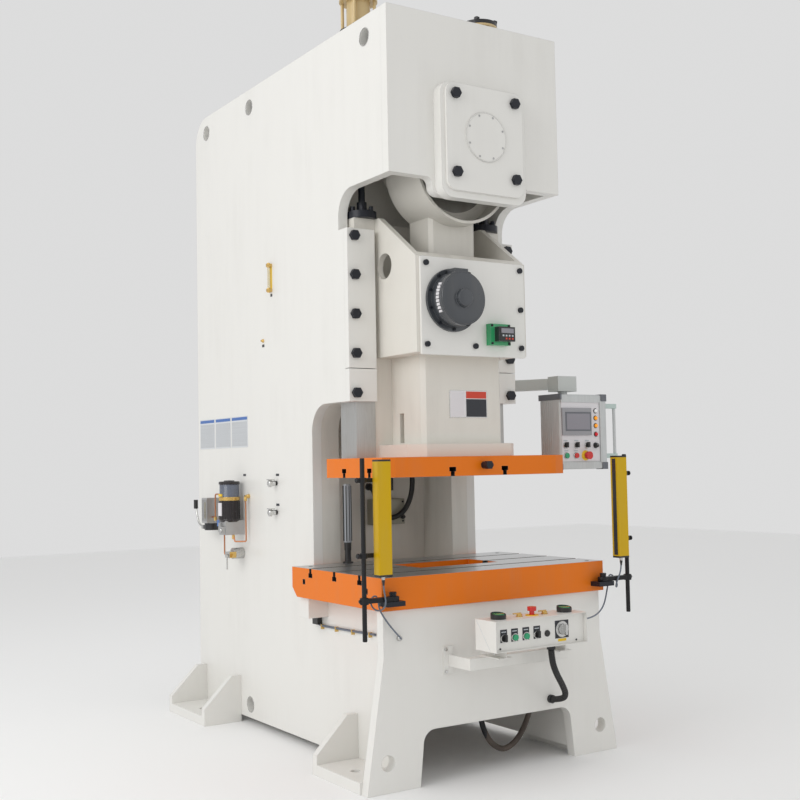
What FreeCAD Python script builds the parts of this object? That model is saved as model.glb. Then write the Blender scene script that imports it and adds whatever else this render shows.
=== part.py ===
import FreeCAD, Part
import Sketcher
import math
import os
import re

# A C-frame crank press: welded plate frame, full-eccentric crankshaft, one connecting rod,
# a guided slide, and the controls around it. Millimetres, +Z up, the operator stands at -Y.
# The origin is on the floor, at the centre of the four anchor holes.
# Distances along Y are counted from the bolster's front face, and frontY puts that face in the frame.

doc = FreeCAD.newDocument("press")
sheet = doc.addObject("Spreadsheet::Sheet", "Sizes")

sizes = {
    # floor fixing
    "anchorFront": 250, "anchorRear": 1900, "anchorHalf": 620, "anchorHoleR": 21,
    # side plates
    "frameHalf": 490, "sideThick": 50, "frameTop": 3438, "frameRear": 2229, "sideBottom": 38,
    "rearRound": 150, "liftHoleR": 40, "liftHoleZ": 3340, "liftHoleFront": 282, "liftHoleMid": 1497,
    "liftHoleRear": 2071, "lowHoleY": 1564, "lowHoleZ": 109,
    # throat, gib seat and head underside
    "bedTop": 760, "throatRear": 835, "throatTop": 1676, "throatRound": 135, "gibSeat": 500,
    "gibTop": 2492, "archRear": 545, "headUnder": 2675, "archRound": 120,
    # bed front plate
    "bedFront": 18, "bedFrontThick": 50, "bedHalf": 609, "flareTop": 560, "legHalf": 700,
    "legInnerTop": 408, "legInnerFoot": 434, "legArchTop": 236, "legArchRound": 60,
    "legHoleX": 596, "legHoleZ": 124, "legHoleR": 34,
    # head front plate, bearing housing and cap
    "headFront": 93, "headThick": 50, "lobeHalf": 258, "lobeRound": 45, "lobeBottom": 2597,
    "housingFace": 38, "housingHalf": 242, "housingBottom": 2580, "housingTop": 3115, "housingRound": 62,
    "bossFrontR": 165, "bossFrontEnd": 190, "capFace": 24, "capHalf": 219, "capBottom": 2612,
    "capTop": 3107, "capRound": 48, "capBoltX": 170, "capBoltRise": 181, "coverR": 117, "coverThick": 5,
    # crown plate and inner plates
    "crownThick": 50, "wallFront": 670, "wallThick": 60, "wallBottom": 2250, "wallNarrowTop": 2640,
    "wallBossR": 175, "wallBossProud": 40, "gearWallFront": 1700, "gearWallBottom": 2080,
    "columnFront": 644, "columnInner": 340, "columnRear": 1100, "columnTop": 2600, "columnWall": 30,
    "backPlateTop": 2000, "tableThick": 60, "shelfTop": 1600, "shelfFront": 1340,
    # rear guard
    "guardFront": 2130, "guardBottom": 320, "guardTop": 3250, "guardSheet": 5, "guardGap": 2,
    "louvreWide": 240, "louvreTall": 14, "louvrePitch": 60, "louvreCount": 9, "louvreBottom": 700,
    "windowR": 300,
    # feet
    "footHalf": 706, "footPlate": 50, "gussetThick": 38, "gussetTop": 248, "gussetToe": 90,
    "gussetTopWide": 55, "frontFootRear": 478, "rearFootFront": 1680, "rearFootRear": 2176,
    # hexagon bolts of the gibs and the bearing cap
    "boltHeadR": 26, "boltHeadTall": 19, "boltShankR": 12, "boltShankLong": 75, "holeClear": 0.5,
    "gibBoltX": 454, "gibBoltFirst": 1716, "gibBoltPitch": 185,
    # gib plates
    "gibThick": 35, "gibInner": 340, "gibSplit": 1832, "gibSplitGap": 3, "guideClear": 0.5,
    # crankshaft and its bushes
    "crankZ": 2876, "crankThrow": 100, "runClear": 0.05, "journalFrontR": 95, "journalRearR": 110,
    "bushThick": 20, "bushFrontStart": 45, "bushFrontEnd": 186, "bushRearStart": 622, "bushRearEnd": 768,
    "eccentricR": 200, "eccentricFront": 288, "eccentricRear": 471, "collarR": 118, "crankFrontEnd": 41,
    "gearSeatR": 100, "crankEnd": 905,
    # gears
    "gearModule": 10, "gearTeeth": 72, "pinionTeeth": 18, "gearFront": 780, "gearWide": 110,
    "gearAddendum": 0.9, "gearDedendum": 1.25, "gearBacklash": 1.2, "pressureAngle": 20,
    "gearRimDeep": 60, "gearWebInset": 32, "gearHubR": 170, "gearHoleR": 45, "gearHoleCircle": 240,
    # connecting rod and screw
    "rodFront": 290, "rodRear": 470, "bigEndR": 268, "linerThick": 15, "shieldFront": 200,
    "shieldThick": 14, "columnHalf": 134, "columnFrontY": 296, "columnBottom": 2040,
    "columnChamfer": 18, "screwR": 58, "screwNutR": 110, "screwNutTall": 60, "ballR": 76, "ballZ": 1832,
    # pinion shaft, clutch, flywheel, motor
    "pinionShaftR": 60, "pinionShaftEnd": 2115, "clutchR": 185, "clutchFront": 2056, "clutchRear": 2092,
    "flywheelR": 380, "flywheelFront": 1850, "flywheelRear": 2050, "flywheelRim": 70,
    "flywheelHubR": 135, "flywheelWeb": 60, "motorZ": 1775, "motorR": 150, "motorFront": 1380,
    "motorRear": 1815, "motorFin": 8, "motorFinThick": 5, "motorFinCount": 18, "motorShaftR": 24,
    "motorFootHalf": 130, "pulleyR": 95, "pulleyFront": 1898, "beltFront": 1905, "beltWide": 90,
    "beltThick": 12, "beltClear": 0.5,
    # slide body
    "slideHalf": 315, "slideFront": 156, "slideBottom": 1884, "slideShoulder": 2326, "slideRear": 620,
    "earSlopeY": 465, "earTop": 2552, "slideWall": 30, "neckHalf": 232, "neckFront": 243,
    "neckChamfer": 20, "neckWall": 40, "neckFloor": 1716, "webHalf": 330, "webFront": 505,
    "webTop": 2500, "baseTop": 1470, "baseFront": 198, "baseHalf": 310, "baseCorner": 67,
    "earInner": 300, "earOuter": 430, "earFront": 501, "earBottom": 2432, "cheekHoleR": 61,
    "cheekHoleY": 420, "cheekHoleZ": 2313, "slotY": 421, "slotHalf": 17,
    "slotTop": 1618, "slotBottom": 1478, "slotDeep": 60,
    # slide cover, guides and die plate
    "coverHalf": 298, "coverTop": 2322, "coverBottom": 1873, "coverPlate": 15, "screwX": 271,
    "screwTop": 2292, "screwMid": 2103, "screwBottom": 1920, "screwR": 6, "screwHeadR": 13,
    "screwHeadTall": 11,
    "guideOuter": 436, "dieHalf": 520, "dieFront": 132, "dieRear": 640, "dieBottom": 1320, "dieTop": 1410,
    "dieChamferWide": 60, "dieChamferDeep": 15, "slotNeck": 22, "slotNeckDeep": 22, "slotTee": 38,
    "slotTeeDeep": 20,
    "dieSlotX": 150, "dieSlotFront": 255, "dieSlotRear": 478, "stopBoltX": 28, "stopBoltZ": 1368,
    "stopBoltR": 16, "stopBoltHeadR": 21, "stopBoltLong": 48, "stopBoltHead": 24, "stopBoltDeep": 40,
    # height indicator and counter on the slide cover
    "dialX": -128, "dialZ": 2126, "dialFlangeR": 146, "dialFlange": 12, "dialDrumR": 124, "dialFace": 52,
    "dialHubR": 42, "dialHub": 16, "plugHalf": 38, "plugTall": 52, "plugFront": 62, "plugRear": 118,
    "counterX": 124, "counterZ": 1976, "counterHalf": 58, "counterTall": 50, "counterBase": 34,
    "displayHalf": 46, "displayTall": 34, "displayDeep": 36, "displayShift": 12,
    # balance cylinders and rods
    "balanceX": 365, "balanceY": 535, "tubeR": 58, "tubeWall": 6, "tubeBottom": 3110, "tubeRise": 174,
    "tubeCapR": 93, "tubeCap": 30, "tieR": 8, "tieCircle": 80, "balanceRodR": 16, "rodTop": 3160,
    "pistonTall": 36, "flangeR": 70, "flangeTall": 34, "flangeHubR": 24, "flangeHubTall": 82,
    "studR": 11, "studCircle": 50, "studTall": 24, "tubeHoleR": 62,
    # bolster
    "bolsterHalf": 625, "bolsterRear": 806, "bolsterTop": 900, "bolsterEdge": 44, "bolsterSlotFront": 182,
    "bolsterSlotMid": 402, "bolsterSlotRear": 626, "dieHoleHalf": 225, "dieHoleFront": 300,
    "dieHoleRear": 540, "liftTapR": 11, "liftTapFront": 125, "liftTapRear": 689, "liftTapZ": 836,
    "liftTapDeep": 60, "lugOuter": 596, "lugFront": 700, "lugRear": 798, "lugBottom": 660,
    # two-hand console and its bracket
    "consoleLeft": -255, "consoleRight": 248, "consoleFront": -300, "consoleRear": -155,
    "consoleBottom": 585, "consoleTop": 716, "consoleSheet": 3, "panelBack": 22, "railLeft": -281,
    "railRight": 257, "railTop": 547, "railBottom": 496, "railFront": -150, "railRear": -110,
    "railSheet": 5, "padTop": 582, "padBottom": 462, "padHalf": 24, "padThick": 8, "angleHalf": 34,
    "angleX": 165, "angleFront": -250,
    # two-hand buttons, emergency stop and front-panel switches
    "handMid": -5, "palmX": 183, "palmY": -230, "palmR": 26, "palmTall": 22, "palmStemR": 12,
    "palmTravel": 6, "stopY": -230, "stopHeadR": 20, "stopHeadTall": 17, "stopStemR": 11,
    "stopStemTall": 20, "rowZ": 640, "modeX": -199, "startX": -141, "resetX": -80,
    "feedX": -20, "camX": 120, "camZ": 651, "buttonR": 13, "buttonTall": 8, "buttonStemR": 8,
    "buttonTravel": 4, "knobLong": 17, "knobHalf": 5, "knobTall": 16, "knobBaseR": 12, "knobBase": 6,
    "camR": 22, "camTall": 22, "camBase": 12, "fitClear": 0.5, "stemDeep": 14,
    # pendant arm and box
    "pivotOut": 70, "pivotY": 700, "armZ": 1778, "armHalfTall": 28, "armHalfWide": 30, "armEyeR": 36,
    "jointX": 748, "jointY": 400, "jointTop": 1815, "jointBottom": 1737, "jointHalfX": 62,
    "jointHalfY": 40, "swivelR": 24, "swivelGap": 0.6, "swivelDeep": 40, "pivotR": 15, "lugTall": 24,
    "lugHalf": 34, "padLong": 90, "boxLeft": 642, "boxRight": 948, "boxFront": 300, "boxRear": 460,
    "boxBottom": 1337, "boxTop": 1717, "boxRound": 16, "boxWall": 5, "handleX": 1020, "handleR": 8,
    "handleTop": 1672, "handleBottom": 1390, "handleInset": 12, "handleY": 312, "pendRowTop": 1457,
    "pendRowLow": 1406, "pendKeyX": 672, "pendSelPitch": 72, "pendGreenX": 676,
    "pendRedX": 740, "pendStopX": 804, "pendKnobR": 10,
    # light curtains and their swinging arms
    "barLeftX": -657, "barRightX": 682, "poleLeftX": -737, "poleRightX": 742, "barHalf": 31,
    "barFront": -90, "barRear": -45, "barBottom": 915, "barTop": 1400, "barSlot": 12, "barSlotHalf": 12,
    "poleR": 10, "poleY": -44, "poleBottom": 651, "poleTop": 1407, "armLow": 807, "armTall": 20,
    "armHalf": 13, "armTail": 20, "armOver": 36, "swingX": 592, "swingY": -36, "swingR": 8,
    "mountHalf": 46, "mountFront": -62, "mountBottom": 785, "mountTop": 806, "knobR": 14, "knobTop": 845,
    "stayLow": 1003, "stayHigh": 1315, "stayHalf": 9, "stayWide": 12, "stayTail": 20, "connectorR": 7,
    "connectorLong": 26, "cableR": 3.5,
    # lubrication pumps, pipes and valves on the left wall
    "pumpOut": 70, "pumpY": 1655, "tankR": 52, "tankTop": 1298, "bandBottom": 1200, "bandTop": 1219,
    "bandR": 55, "canR": 56, "canBottom": 1092, "pumpBottom": 1015, "pumpHalf": 42, "handPumpY": 1920,
    "handHalf": 36, "handBottom": 1070, "handTop": 1210, "handFar": 102, "handNear": 18,
    "bowlR": 38, "bowlBottom": 1030, "leverOut": 72, "leverY": 1990, "leverZ": 1046, "leverHalf": 8,
    "leverEyeR": 11, "leverPinR": 5, "leverCheek": 5, "leverClear": 0.6, "leverR": 6, "gripR": 12,
    "gripBottom": 1146, "gripTop": 1196, "gripY": 2110, "valveY": 1640, "valveZ": 913, "valveR": 30,
    "valveOut": 62, "blockOut": 100, "blockTop": 925, "blockBottom": 893, "blockFront": 1590,
    "blockRear": 1652, "handleHubY": 1612, "hubR": 9, "hubLong": 12, "drainZ": 905, "drainR": 4,
    "drainEnd": 831, "cockY": 1225, "cockHigh": 1293, "cockLow": 1143, "cockR": 8, "cockOut": 48,
    "cockRootR": 12, "cockRoot": 12, "pipeR": 4, "nutR": 9, "nutLong": 18, "pipeBend": 14,
    "dropOut": 85, "loopOut": 22, "plugZ": 905,
    # hoses and their glands
    "consoleHoseR": 14, "bedHoseR": 13, "throatHoseR": 14, "glandR": 19, "glandLong": 18,
    "trayTop": 276, "trayBottom": 270, "trayLeft": -70, "trayRight": 300, "trayRear": 160,
}
sizes["frontY"] = -(sizes["anchorFront"] + sizes["anchorRear"]) / 2
# places counted from the head's top and from the outer faces of the side plates
sizes["tubeTop"] = sizes["frameTop"] + sizes["tubeRise"]
sizes["pivotX"] = sizes["frameHalf"] + sizes["pivotOut"]
for spot, distance in (("pumpX", "pumpOut"), ("handOuter", "handFar"), ("handInner", "handNear"),
                       ("leverX", "leverOut"), ("dropX", "dropOut"), ("loopX", "loopOut")):
    sizes[spot] = -(sizes["frameHalf"] + sizes[distance])

for row, (alias, value) in enumerate(sizes.items(), start=1):
    sheet.set("A%d" % row, alias)
    sheet.set("B%d" % row, str(value))
    sheet.setAlias("B%d" % row, alias)
doc.recompute()

wordPattern = re.compile(r"[A-Za-z_]\w*")
nodes = []


def cells(text):
    # Turn plain size names in an expression into references to the sheet.
    return wordPattern.sub(lambda m: "Sizes." + m.group() if m.group() in sizes else m.group(), str(text))


def bind(item, **expressions):
    for name, text in expressions.items():
        item.setExpression(name.replace("__", "."), cells(text))


def place(item, x="0", y="0", z="0"):
    bind(item, Placement__Base__x=x, Placement__Base__y="frontY + (%s)" % y, Placement__Base__z=z)


def box(name, x, y, z):
    # A block between low and high faces; y counts from the bolster's front face.
    item = doc.addObject("Part::Box", name)
    bind(item, Length="(%s) - (%s)" % (x[1], x[0]), Width="(%s) - (%s)" % (y[1], y[0]))
    bind(item, Height="(%s) - (%s)" % (z[1], z[0]))
    place(item, x[0], y[0], z[0])
    return item


turns = {
    "X": FreeCAD.Rotation(FreeCAD.Vector(0, 1, 0), 90),
    "Y": FreeCAD.Rotation(FreeCAD.Vector(1, 0, 0), -90),
    "Z": FreeCAD.Rotation(),
}


def along(item, axis, across, span):
    # Stand a round or hexagonal piece along an axis; across gives its other two coordinates in order.
    item.Placement = FreeCAD.Placement(FreeCAD.Vector(), turns[axis])
    first, second = across
    spots = {"X": (span[0], first, second), "Y": (first, span[0], second), "Z": (first, second, span[0])}
    bind(item, Height="(%s) - (%s)" % (span[1], span[0]))
    place(item, *spots[axis])
    return item


def rod(name, axis, radius, across, span):
    item = doc.addObject("Part::Cylinder", name)
    bind(item, Radius=radius)
    return along(item, axis, across, span)


def hexagon(name, axis, radius, across, span):
    item = doc.addObject("Part::Prism", name)
    item.Polygon = 6
    bind(item, Circumradius=radius)
    return along(item, axis, across, span)


def ball(name, radius, x, y, z):
    item = doc.addObject("Part::Sphere", name)
    bind(item, Radius=radius)
    place(item, x, y, z)
    return item


def fuse(name, *items):
    item = doc.addObject("Part::MultiFuse", name)
    item.Shapes = list(items)
    item.Refine = True
    return item


def cut(name, base, *tools):
    item = doc.addObject("Part::Cut", name)
    item.Base = base
    item.Tool = tools[0] if len(tools) == 1 else fuse(name + "_tools", *tools)
    item.Refine = True
    return item


def group(name, *items):
    item = doc.addObject("Part::Compound", name)
    item.Links = list(items)
    return item


def mirrored(name, source):
    item = doc.addObject("Part::Mirroring", name)
    item.Source = source
    item.Normal = FreeCAD.Vector(1, 0, 0)
    return item


def node(item, label):
    item.Label = label
    nodes.append(item)
    return item


# A sketch's own axes on each origin plane, and the way its pad grows.
sketchAxes = {"XY_Plane": (0, 1), "XZ_Plane": (0, 2), "YZ_Plane": (1, 2)}


def padded(name, plane, loops, depth, circles=(), at=("0", "0", "0"), rounds=(), chamfers=(), reverse=False):
    # A plate: closed outlines and round holes in one sketch, padded by depth, then its corners rounded.
    # rounds and chamfers hold (outline corner numbers, size) for the first loop.
    body = doc.addObject("PartDesign::Body", name)
    sketch = body.newObject("Sketcher::SketchObject", name + "_sketch")
    support = [feature for feature in body.Origin.OriginFeatures if feature.Role == plane][0]
    sketch.AttachmentSupport = [(support, "")]
    sketch.MapMode = "FlatFace"
    probe = doc.addObject("App::FeaturePython", name + "_probe")
    probe.addProperty("App::PropertyFloat", "value")

    def number(text):
        probe.setExpression("value", cells(text))
        probe.recompute()
        return probe.value

    for loop in loops:
        corners = [(number(u), number(v)) for u, v in loop]
        first = sketch.GeometryCount
        count = len(loop)
        for index in range(count):
            start = FreeCAD.Vector(*corners[index], 0)
            end = FreeCAD.Vector(*corners[(index + 1) % count], 0)
            sketch.addGeometry(Part.LineSegment(start, end))
        for index in range(count):
            here = first + index
            after = first + (index + 1) % count
            sketch.addConstraint(Sketcher.Constraint("Coincident", here, 2, after, 1))
        for index, spot in enumerate(loop):
            for kind, text, value in zip(("DistanceX", "DistanceY"), spot, corners[index]):
                row = sketch.addConstraint(Sketcher.Constraint(kind, -1, 1, first + index, 1, value))
                sketch.setExpression("Constraints[%d]" % row, cells(text))
    for u, v, radius in circles:
        centre = FreeCAD.Vector(number(u), number(v), 0)
        here = sketch.addGeometry(Part.Circle(centre, FreeCAD.Vector(0, 0, 1), number(radius)))
        for kind, text, value in (("DistanceX", u, centre.x), ("DistanceY", v, centre.y)):
            row = sketch.addConstraint(Sketcher.Constraint(kind, -1, 1, here, 3, value))
            sketch.setExpression("Constraints[%d]" % row, cells(text))
        row = sketch.addConstraint(Sketcher.Constraint("Radius", here, number(radius)))
        sketch.setExpression("Constraints[%d]" % row, cells(radius))
    pad = body.newObject("PartDesign::Pad", name + "_pad")
    pad.Profile = sketch
    pad.Reversed = reverse
    bind(pad, Length=depth)
    doc.recompute()
    tip = pad
    across = sketchAxes[plane]
    for kind, property, jobs in (("Fillet", "Radius", rounds), ("Chamfer", "Size", chamfers)):
        for corners, size in jobs:
            wanted = [(number(loops[0][index][0]), number(loops[0][index][1])) for index in corners]
            edges = []
            for index, edge in enumerate(tip.Shape.Edges, start=1):
                ends = [vertex.Point for vertex in edge.Vertexes]
                if len(ends) != 2:
                    continue
                flat = [(end[across[0]], end[across[1]]) for end in ends]
                for spot in wanted:
                    if all(math.dist(spot, end) < 0.001 for end in flat):
                        edges.append("Edge%d" % index)
            tip = addEdgeFeature(body, kind, name + "_" + kind.lower() + str(len(body.Group)), tip, edges)
            bind(tip, **{property: size})
            doc.recompute()
    doc.removeObject(probe.Name)
    place(body, *at)
    return body


def addEdgeFeature(body, kind, name, base, edges):
    item = body.newObject("PartDesign::" + kind, name)
    item.Base = (base, edges)
    return item


def both(name, maker):
    # The left piece and its mirror image on the right.
    left = maker()
    return left, mirrored(name + "_right", left)


def sidePlate(sign, side):
    x = "-frameHalf" if sign < 0 else "frameHalf - sideThick"
    outline = [
        ("headFront + headThick", "frameTop"), ("frameRear", "frameTop"), ("frameRear", "sideBottom"),
        ("bedFront + bedFrontThick", "sideBottom"), ("bedFront + bedFrontThick", "bedTop"),
        ("throatRear", "bedTop"), ("throatRear", "throatTop"), ("gibSeat", "throatTop"), ("gibSeat",
                                                                                          "gibTop"),
        ("archRear", "gibTop"), ("archRear", "headUnder"), ("headFront + headThick", "headUnder"),
    ]
    holes = [(y, "liftHoleZ", "liftHoleR") for y in ("liftHoleFront", "liftHoleMid", "liftHoleRear")]
    holes.append(("lowHoleY", "lowHoleZ", "liftHoleR"))
    rounds = [((1,), "rearRound"), ((6,), "throatRound"), ((10,), "archRound")]
    plate = padded("side_" + side, "YZ_Plane", [outline], "sideThick", holes, (x, "0", "0"), rounds)
    lugX = ("-lugOuter", "-frameHalf") if sign < 0 else ("frameHalf", "lugOuter")
    lug = box("lug_" + side, lugX, ("lugFront", "lugRear"), ("lugBottom", "bedTop"))
    drills = boltHoles("gib_taps_" + side, sign)
    return cut("side_cut_" + side, fuse("side_blank_" + side, plate, lug), drills)


def gibBoltHeights():
    return ["gibBoltFirst + %d * gibBoltPitch" % index for index in range(5)]


def boltHoles(name, sign):
    x = "gibBoltX" if sign > 0 else "-gibBoltX"
    span = ("gibSeat - gibThick - holeClear", "gibSeat - gibThick + boltShankLong + holeClear")
    drills = []
    for index, z in enumerate(gibBoltHeights()):
        drills.append(rod("%s_%d" % (name, index), "Y", "boltShankR + holeClear", (x, z), span))
    return fuse(name, *drills)


def frame(bracket):
    node(sidePlate(-1, "left"), "side_plate_left")
    node(fuse("side_plate_with_bracket", sidePlate(1, "right"), bracket), "side_plate_right")

    outline = [
        ("-bedHalf", "bedTop"), ("-bedHalf", "flareTop"), ("-legHalf", "0"), ("-legInnerFoot", "0"),
        ("-legInnerTop", "legArchTop"), ("legInnerTop", "legArchTop"), ("legInnerFoot", "0"),
        ("legHalf", "0"), ("bedHalf", "flareTop"), ("bedHalf", "bedTop"),
    ]
    holes = [("-legHoleX", "legHoleZ", "legHoleR"), ("legHoleX", "legHoleZ", "legHoleR")]
    front = padded("bed_front", "XZ_Plane", [outline], "bedFrontThick", holes,
                   ("0", "bedFront", "0"), [((4, 5), "legArchRound")], reverse=True)
    node(front, "bed_front_plate")

    node(headFront(), "head_front_plate")

    node(group("columns", *both("column", column)), "frame_columns")
    node(innerPlates(), "inner_plates")
    node(rearGuard(), "rear_guard")
    node(feet(), "machine_feet")


def headFront():
    outline = [
        ("-frameHalf", "frameTop"), ("-frameHalf", "headUnder"), ("-lobeHalf", "headUnder"),
        ("-lobeHalf", "lobeBottom"), ("lobeHalf", "lobeBottom"), ("lobeHalf", "headUnder"),
        ("frameHalf", "headUnder"), ("frameHalf", "frameTop"),
    ]
    plate = padded("head_plate", "XZ_Plane", [outline], "headThick", (), ("0", "headFront", "0"),
                   [((3, 4), "lobeRound"),
                    ((2, 5), "headUnder - lobeBottom - lobeRound - guardGap")], reverse=True)
    outline = [("-housingHalf", "housingBottom"), ("housingHalf", "housingBottom"),
               ("housingHalf", "housingTop"), ("-housingHalf", "housingTop")]
    housing = padded("housing", "XZ_Plane", [outline], "headFront - housingFace", (),
                     ("0", "housingFace", "0"), [((0, 1, 2, 3), "housingRound")], reverse=True)
    boss = rod("front_boss", "Y", "bossFrontR", ("0", "crankZ"), ("headFront", "bossFrontEnd"))
    bore = rod("front_bore", "Y", "journalFrontR + bushThick", ("0", "crankZ"),
               ("housingFace - guardGap", "bossFrontEnd + guardGap"))
    taps = capDrills("cap_taps")
    return cut("head_front", fuse("head_front_blank", plate, housing, boss), bore, taps)


def capBoltSpots():
    return [(x, z) for x in ("-capBoltX", "capBoltX") for z in ("crankZ - capBoltRise",
                                                                "crankZ + capBoltRise")]


def capDrills(name):
    span = ("capFace - holeClear", "capFace + boltShankLong + holeClear")
    return fuse(name, *[rod("%s_%d" % (name, index), "Y", "boltShankR + holeClear", spot, span)
                        for index, spot in enumerate(capBoltSpots())])


def column():
    outline = [
        ("columnFront", "columnTop"), ("columnFront", "throatTop"), ("throatRear", "throatTop"),
        ("throatRear", "bedTop"), ("columnRear", "bedTop"), ("columnRear", "columnTop"),
    ]
    blank = padded("column_blank", "YZ_Plane", [outline], "frameHalf - sideThick - columnInner", (),
                   ("-frameHalf + sideThick", "0", "0"), [((2,), "throatRound")])
    inside = ("-frameHalf + sideThick - columnWall", "-columnInner - columnWall")
    upper = box("column_hollow_top", inside, ("columnFront + columnWall", "columnRear - columnWall"),
                ("throatTop + throatRound", "columnTop - columnWall"))
    lower = box("column_hollow_low", inside, ("throatRear + columnWall", "columnRear - columnWall"),
                ("bedTop + columnWall", "throatTop - throatRound - columnWall"))
    return cut("column_left", blank, upper, lower)


def innerPlates():
    half = "frameHalf - sideThick"
    drop = "crankZ - gearModule * (gearTeeth + pinionTeeth) / 2"
    narrow = "columnInner"
    outline = [
        ("-(%s)" % half, "frameTop - crownThick"), ("-(%s)" % half, "wallNarrowTop"),
        ("-%s" % narrow, "wallNarrowTop"), ("-%s" % narrow, "wallBottom"), (narrow, "wallBottom"),
        (narrow, "wallNarrowTop"), (half, "wallNarrowTop"), (half, "frameTop - crownThick"),
    ]
    crankWall = padded("crank_wall", "XZ_Plane", [outline], "wallThick", (), ("0", "wallFront", "0"),
                       reverse=True)
    boss = rod("wall_boss", "Y", "wallBossR", ("0", "crankZ"),
               ("wallFront - wallBossProud", "wallFront + wallThick + wallBossProud"))
    bore = rod("wall_bore", "Y", "journalRearR + bushThick", ("0", "crankZ"),
               ("bushRearStart - wallThick", "bushRearEnd + wallThick"))
    seat = rod("pinion_seat_front", "Y", "pinionShaftR + bushThick", ("0", drop),
               ("wallFront - wallThick", "wallFront + 2 * wallThick"))
    crankWall = cut("crank_wall_bored", fuse("crank_wall_boss", crankWall, boss), bore, seat)

    gearWall = box("gear_wall", ("-(%s)" % half, half), ("gearWallFront", "gearWallFront + wallThick"),
                   ("gearWallBottom", "frameTop - crownThick"))
    seat = rod("pinion_seat_rear", "Y", "pinionShaftR + bushThick", ("0", drop),
               ("gearWallFront - wallThick", "gearWallFront + 2 * wallThick"))
    gearWall = cut("gear_wall_bored", gearWall, seat)

    back = box("back_plate", ("-(%s)" % half, half), ("columnRear", "columnRear + columnWall"),
               ("bedTop", "backPlateTop"))
    table = box("table_blank", ("-(%s)" % half, half), ("bedFront + bedFrontThick", "columnRear"),
                ("bedTop - tableThick", "bedTop"))
    hole = box("table_hole", ("-dieHoleHalf", "dieHoleHalf"), ("dieHoleFront", "dieHoleRear"),
               ("bedTop - 2 * tableThick", "bedTop + tableThick"))
    table = cut("table", table, hole)
    shelf = box("motor_shelf", ("-(%s)" % half, half), ("shelfFront", "gearWallFront + 2 * wallThick"),
                ("shelfTop - columnWall", "shelfTop"))
    crown = box("crown_blank", ("-frameHalf + sideThick", "frameHalf - sideThick"),
                ("headFront + headThick", "frameRear - rearRound"), ("frameTop - crownThick", "frameTop"))
    holes = [rod("crown_hole_" + side, "Z", "tubeHoleR", (x, "balanceY"),
                 ("frameTop - 2 * crownThick", "frameTop + crownThick"))
             for side, x in (("left", "-balanceX"), ("right", "balanceX"))]
    crown = cut("crown", crown, *holes)
    tray = box("hose_tray", ("trayLeft", "trayRight"), ("bedFront + bedFrontThick", "trayRear"),
               ("trayBottom", "trayTop"))
    return group("inner", crankWall, gearWall, back, table, shelf, crown, tray)


def rearGuard():
    half = "frameHalf - sideThick - guardGap"
    outer = box("guard_outer", ("-(%s)" % half, half), ("guardFront", "frameRear"),
                ("guardBottom", "guardTop"))
    inner = box("guard_inner", ("-(%s) + guardSheet" % half, "%s - guardSheet" % half),
                ("guardFront - guardSheet", "frameRear - guardSheet"),
                ("guardBottom + guardSheet", "guardTop - guardSheet"))
    tools = [inner]
    for index in range(sizes["louvreCount"]):
        low = "louvreBottom + %d * louvrePitch" % index
        for side, x in (("left", ("-louvreWide - columnWall", "-columnWall")),
                        ("right", ("columnWall", "louvreWide + columnWall"))):
            tools.append(box("louvre_%s_%d" % (side, index), x, ("guardFront", "frameRear + guardSheet"),
                             (low, low + " + louvreTall")))
    drop = "crankZ - gearModule * (gearTeeth + pinionTeeth) / 2"
    for index in range(-4, 5):
        reach = "sqrt(windowR * windowR - (%d * louvrePitch) * (%d * louvrePitch))" % (index, index)
        low = "%s + %d * louvrePitch" % (drop, index)
        tools.append(box("window_%d" % (index + 4), ("-" + reach, reach),
                         ("guardFront", "frameRear + guardSheet"),
                         (low + " - louvreTall", low + " + louvreTall")))
    return cut("guard", outer, *tools)


def foot(name, front, rear, gussets):
    base = box(name + "_base", ("-footHalf", "-frameHalf"), (front, rear), ("0", "footPlate"))
    parts = [base]
    for index, gusset in enumerate(gussets):
        outline = [("-footHalf", "footPlate"), ("-footHalf", "gussetToe"),
                   ("-frameHalf - gussetTopWide", "gussetTop"),
                   ("-frameHalf", "gussetTop"), ("-frameHalf", "footPlate")]
        parts.append(padded("%s_gusset_%d" % (name, index), "XZ_Plane", [outline], "gussetThick", (),
                            ("0", gusset, "0"), reverse=True))
    y = "anchorFront" if name == "foot_front" else "anchorRear"
    hole = rod(name + "_anchor", "Z", "anchorHoleR", ("-anchorHalf", y), ("-footPlate", "2 * footPlate"))
    return cut(name, fuse(name + "_blank", *parts), hole)


def feet():
    front = foot("foot_front", "bedFront + bedFrontThick", "frontFootRear", ["frontFootRear - gussetThick"])
    rear = foot("foot_rear", "rearFootFront", "rearFootRear", ["rearFootFront", "rearFootRear - gussetThick"])
    return group("feet", front, mirrored("foot_front_right", front), rear, mirrored("foot_rear_right", rear))


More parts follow.
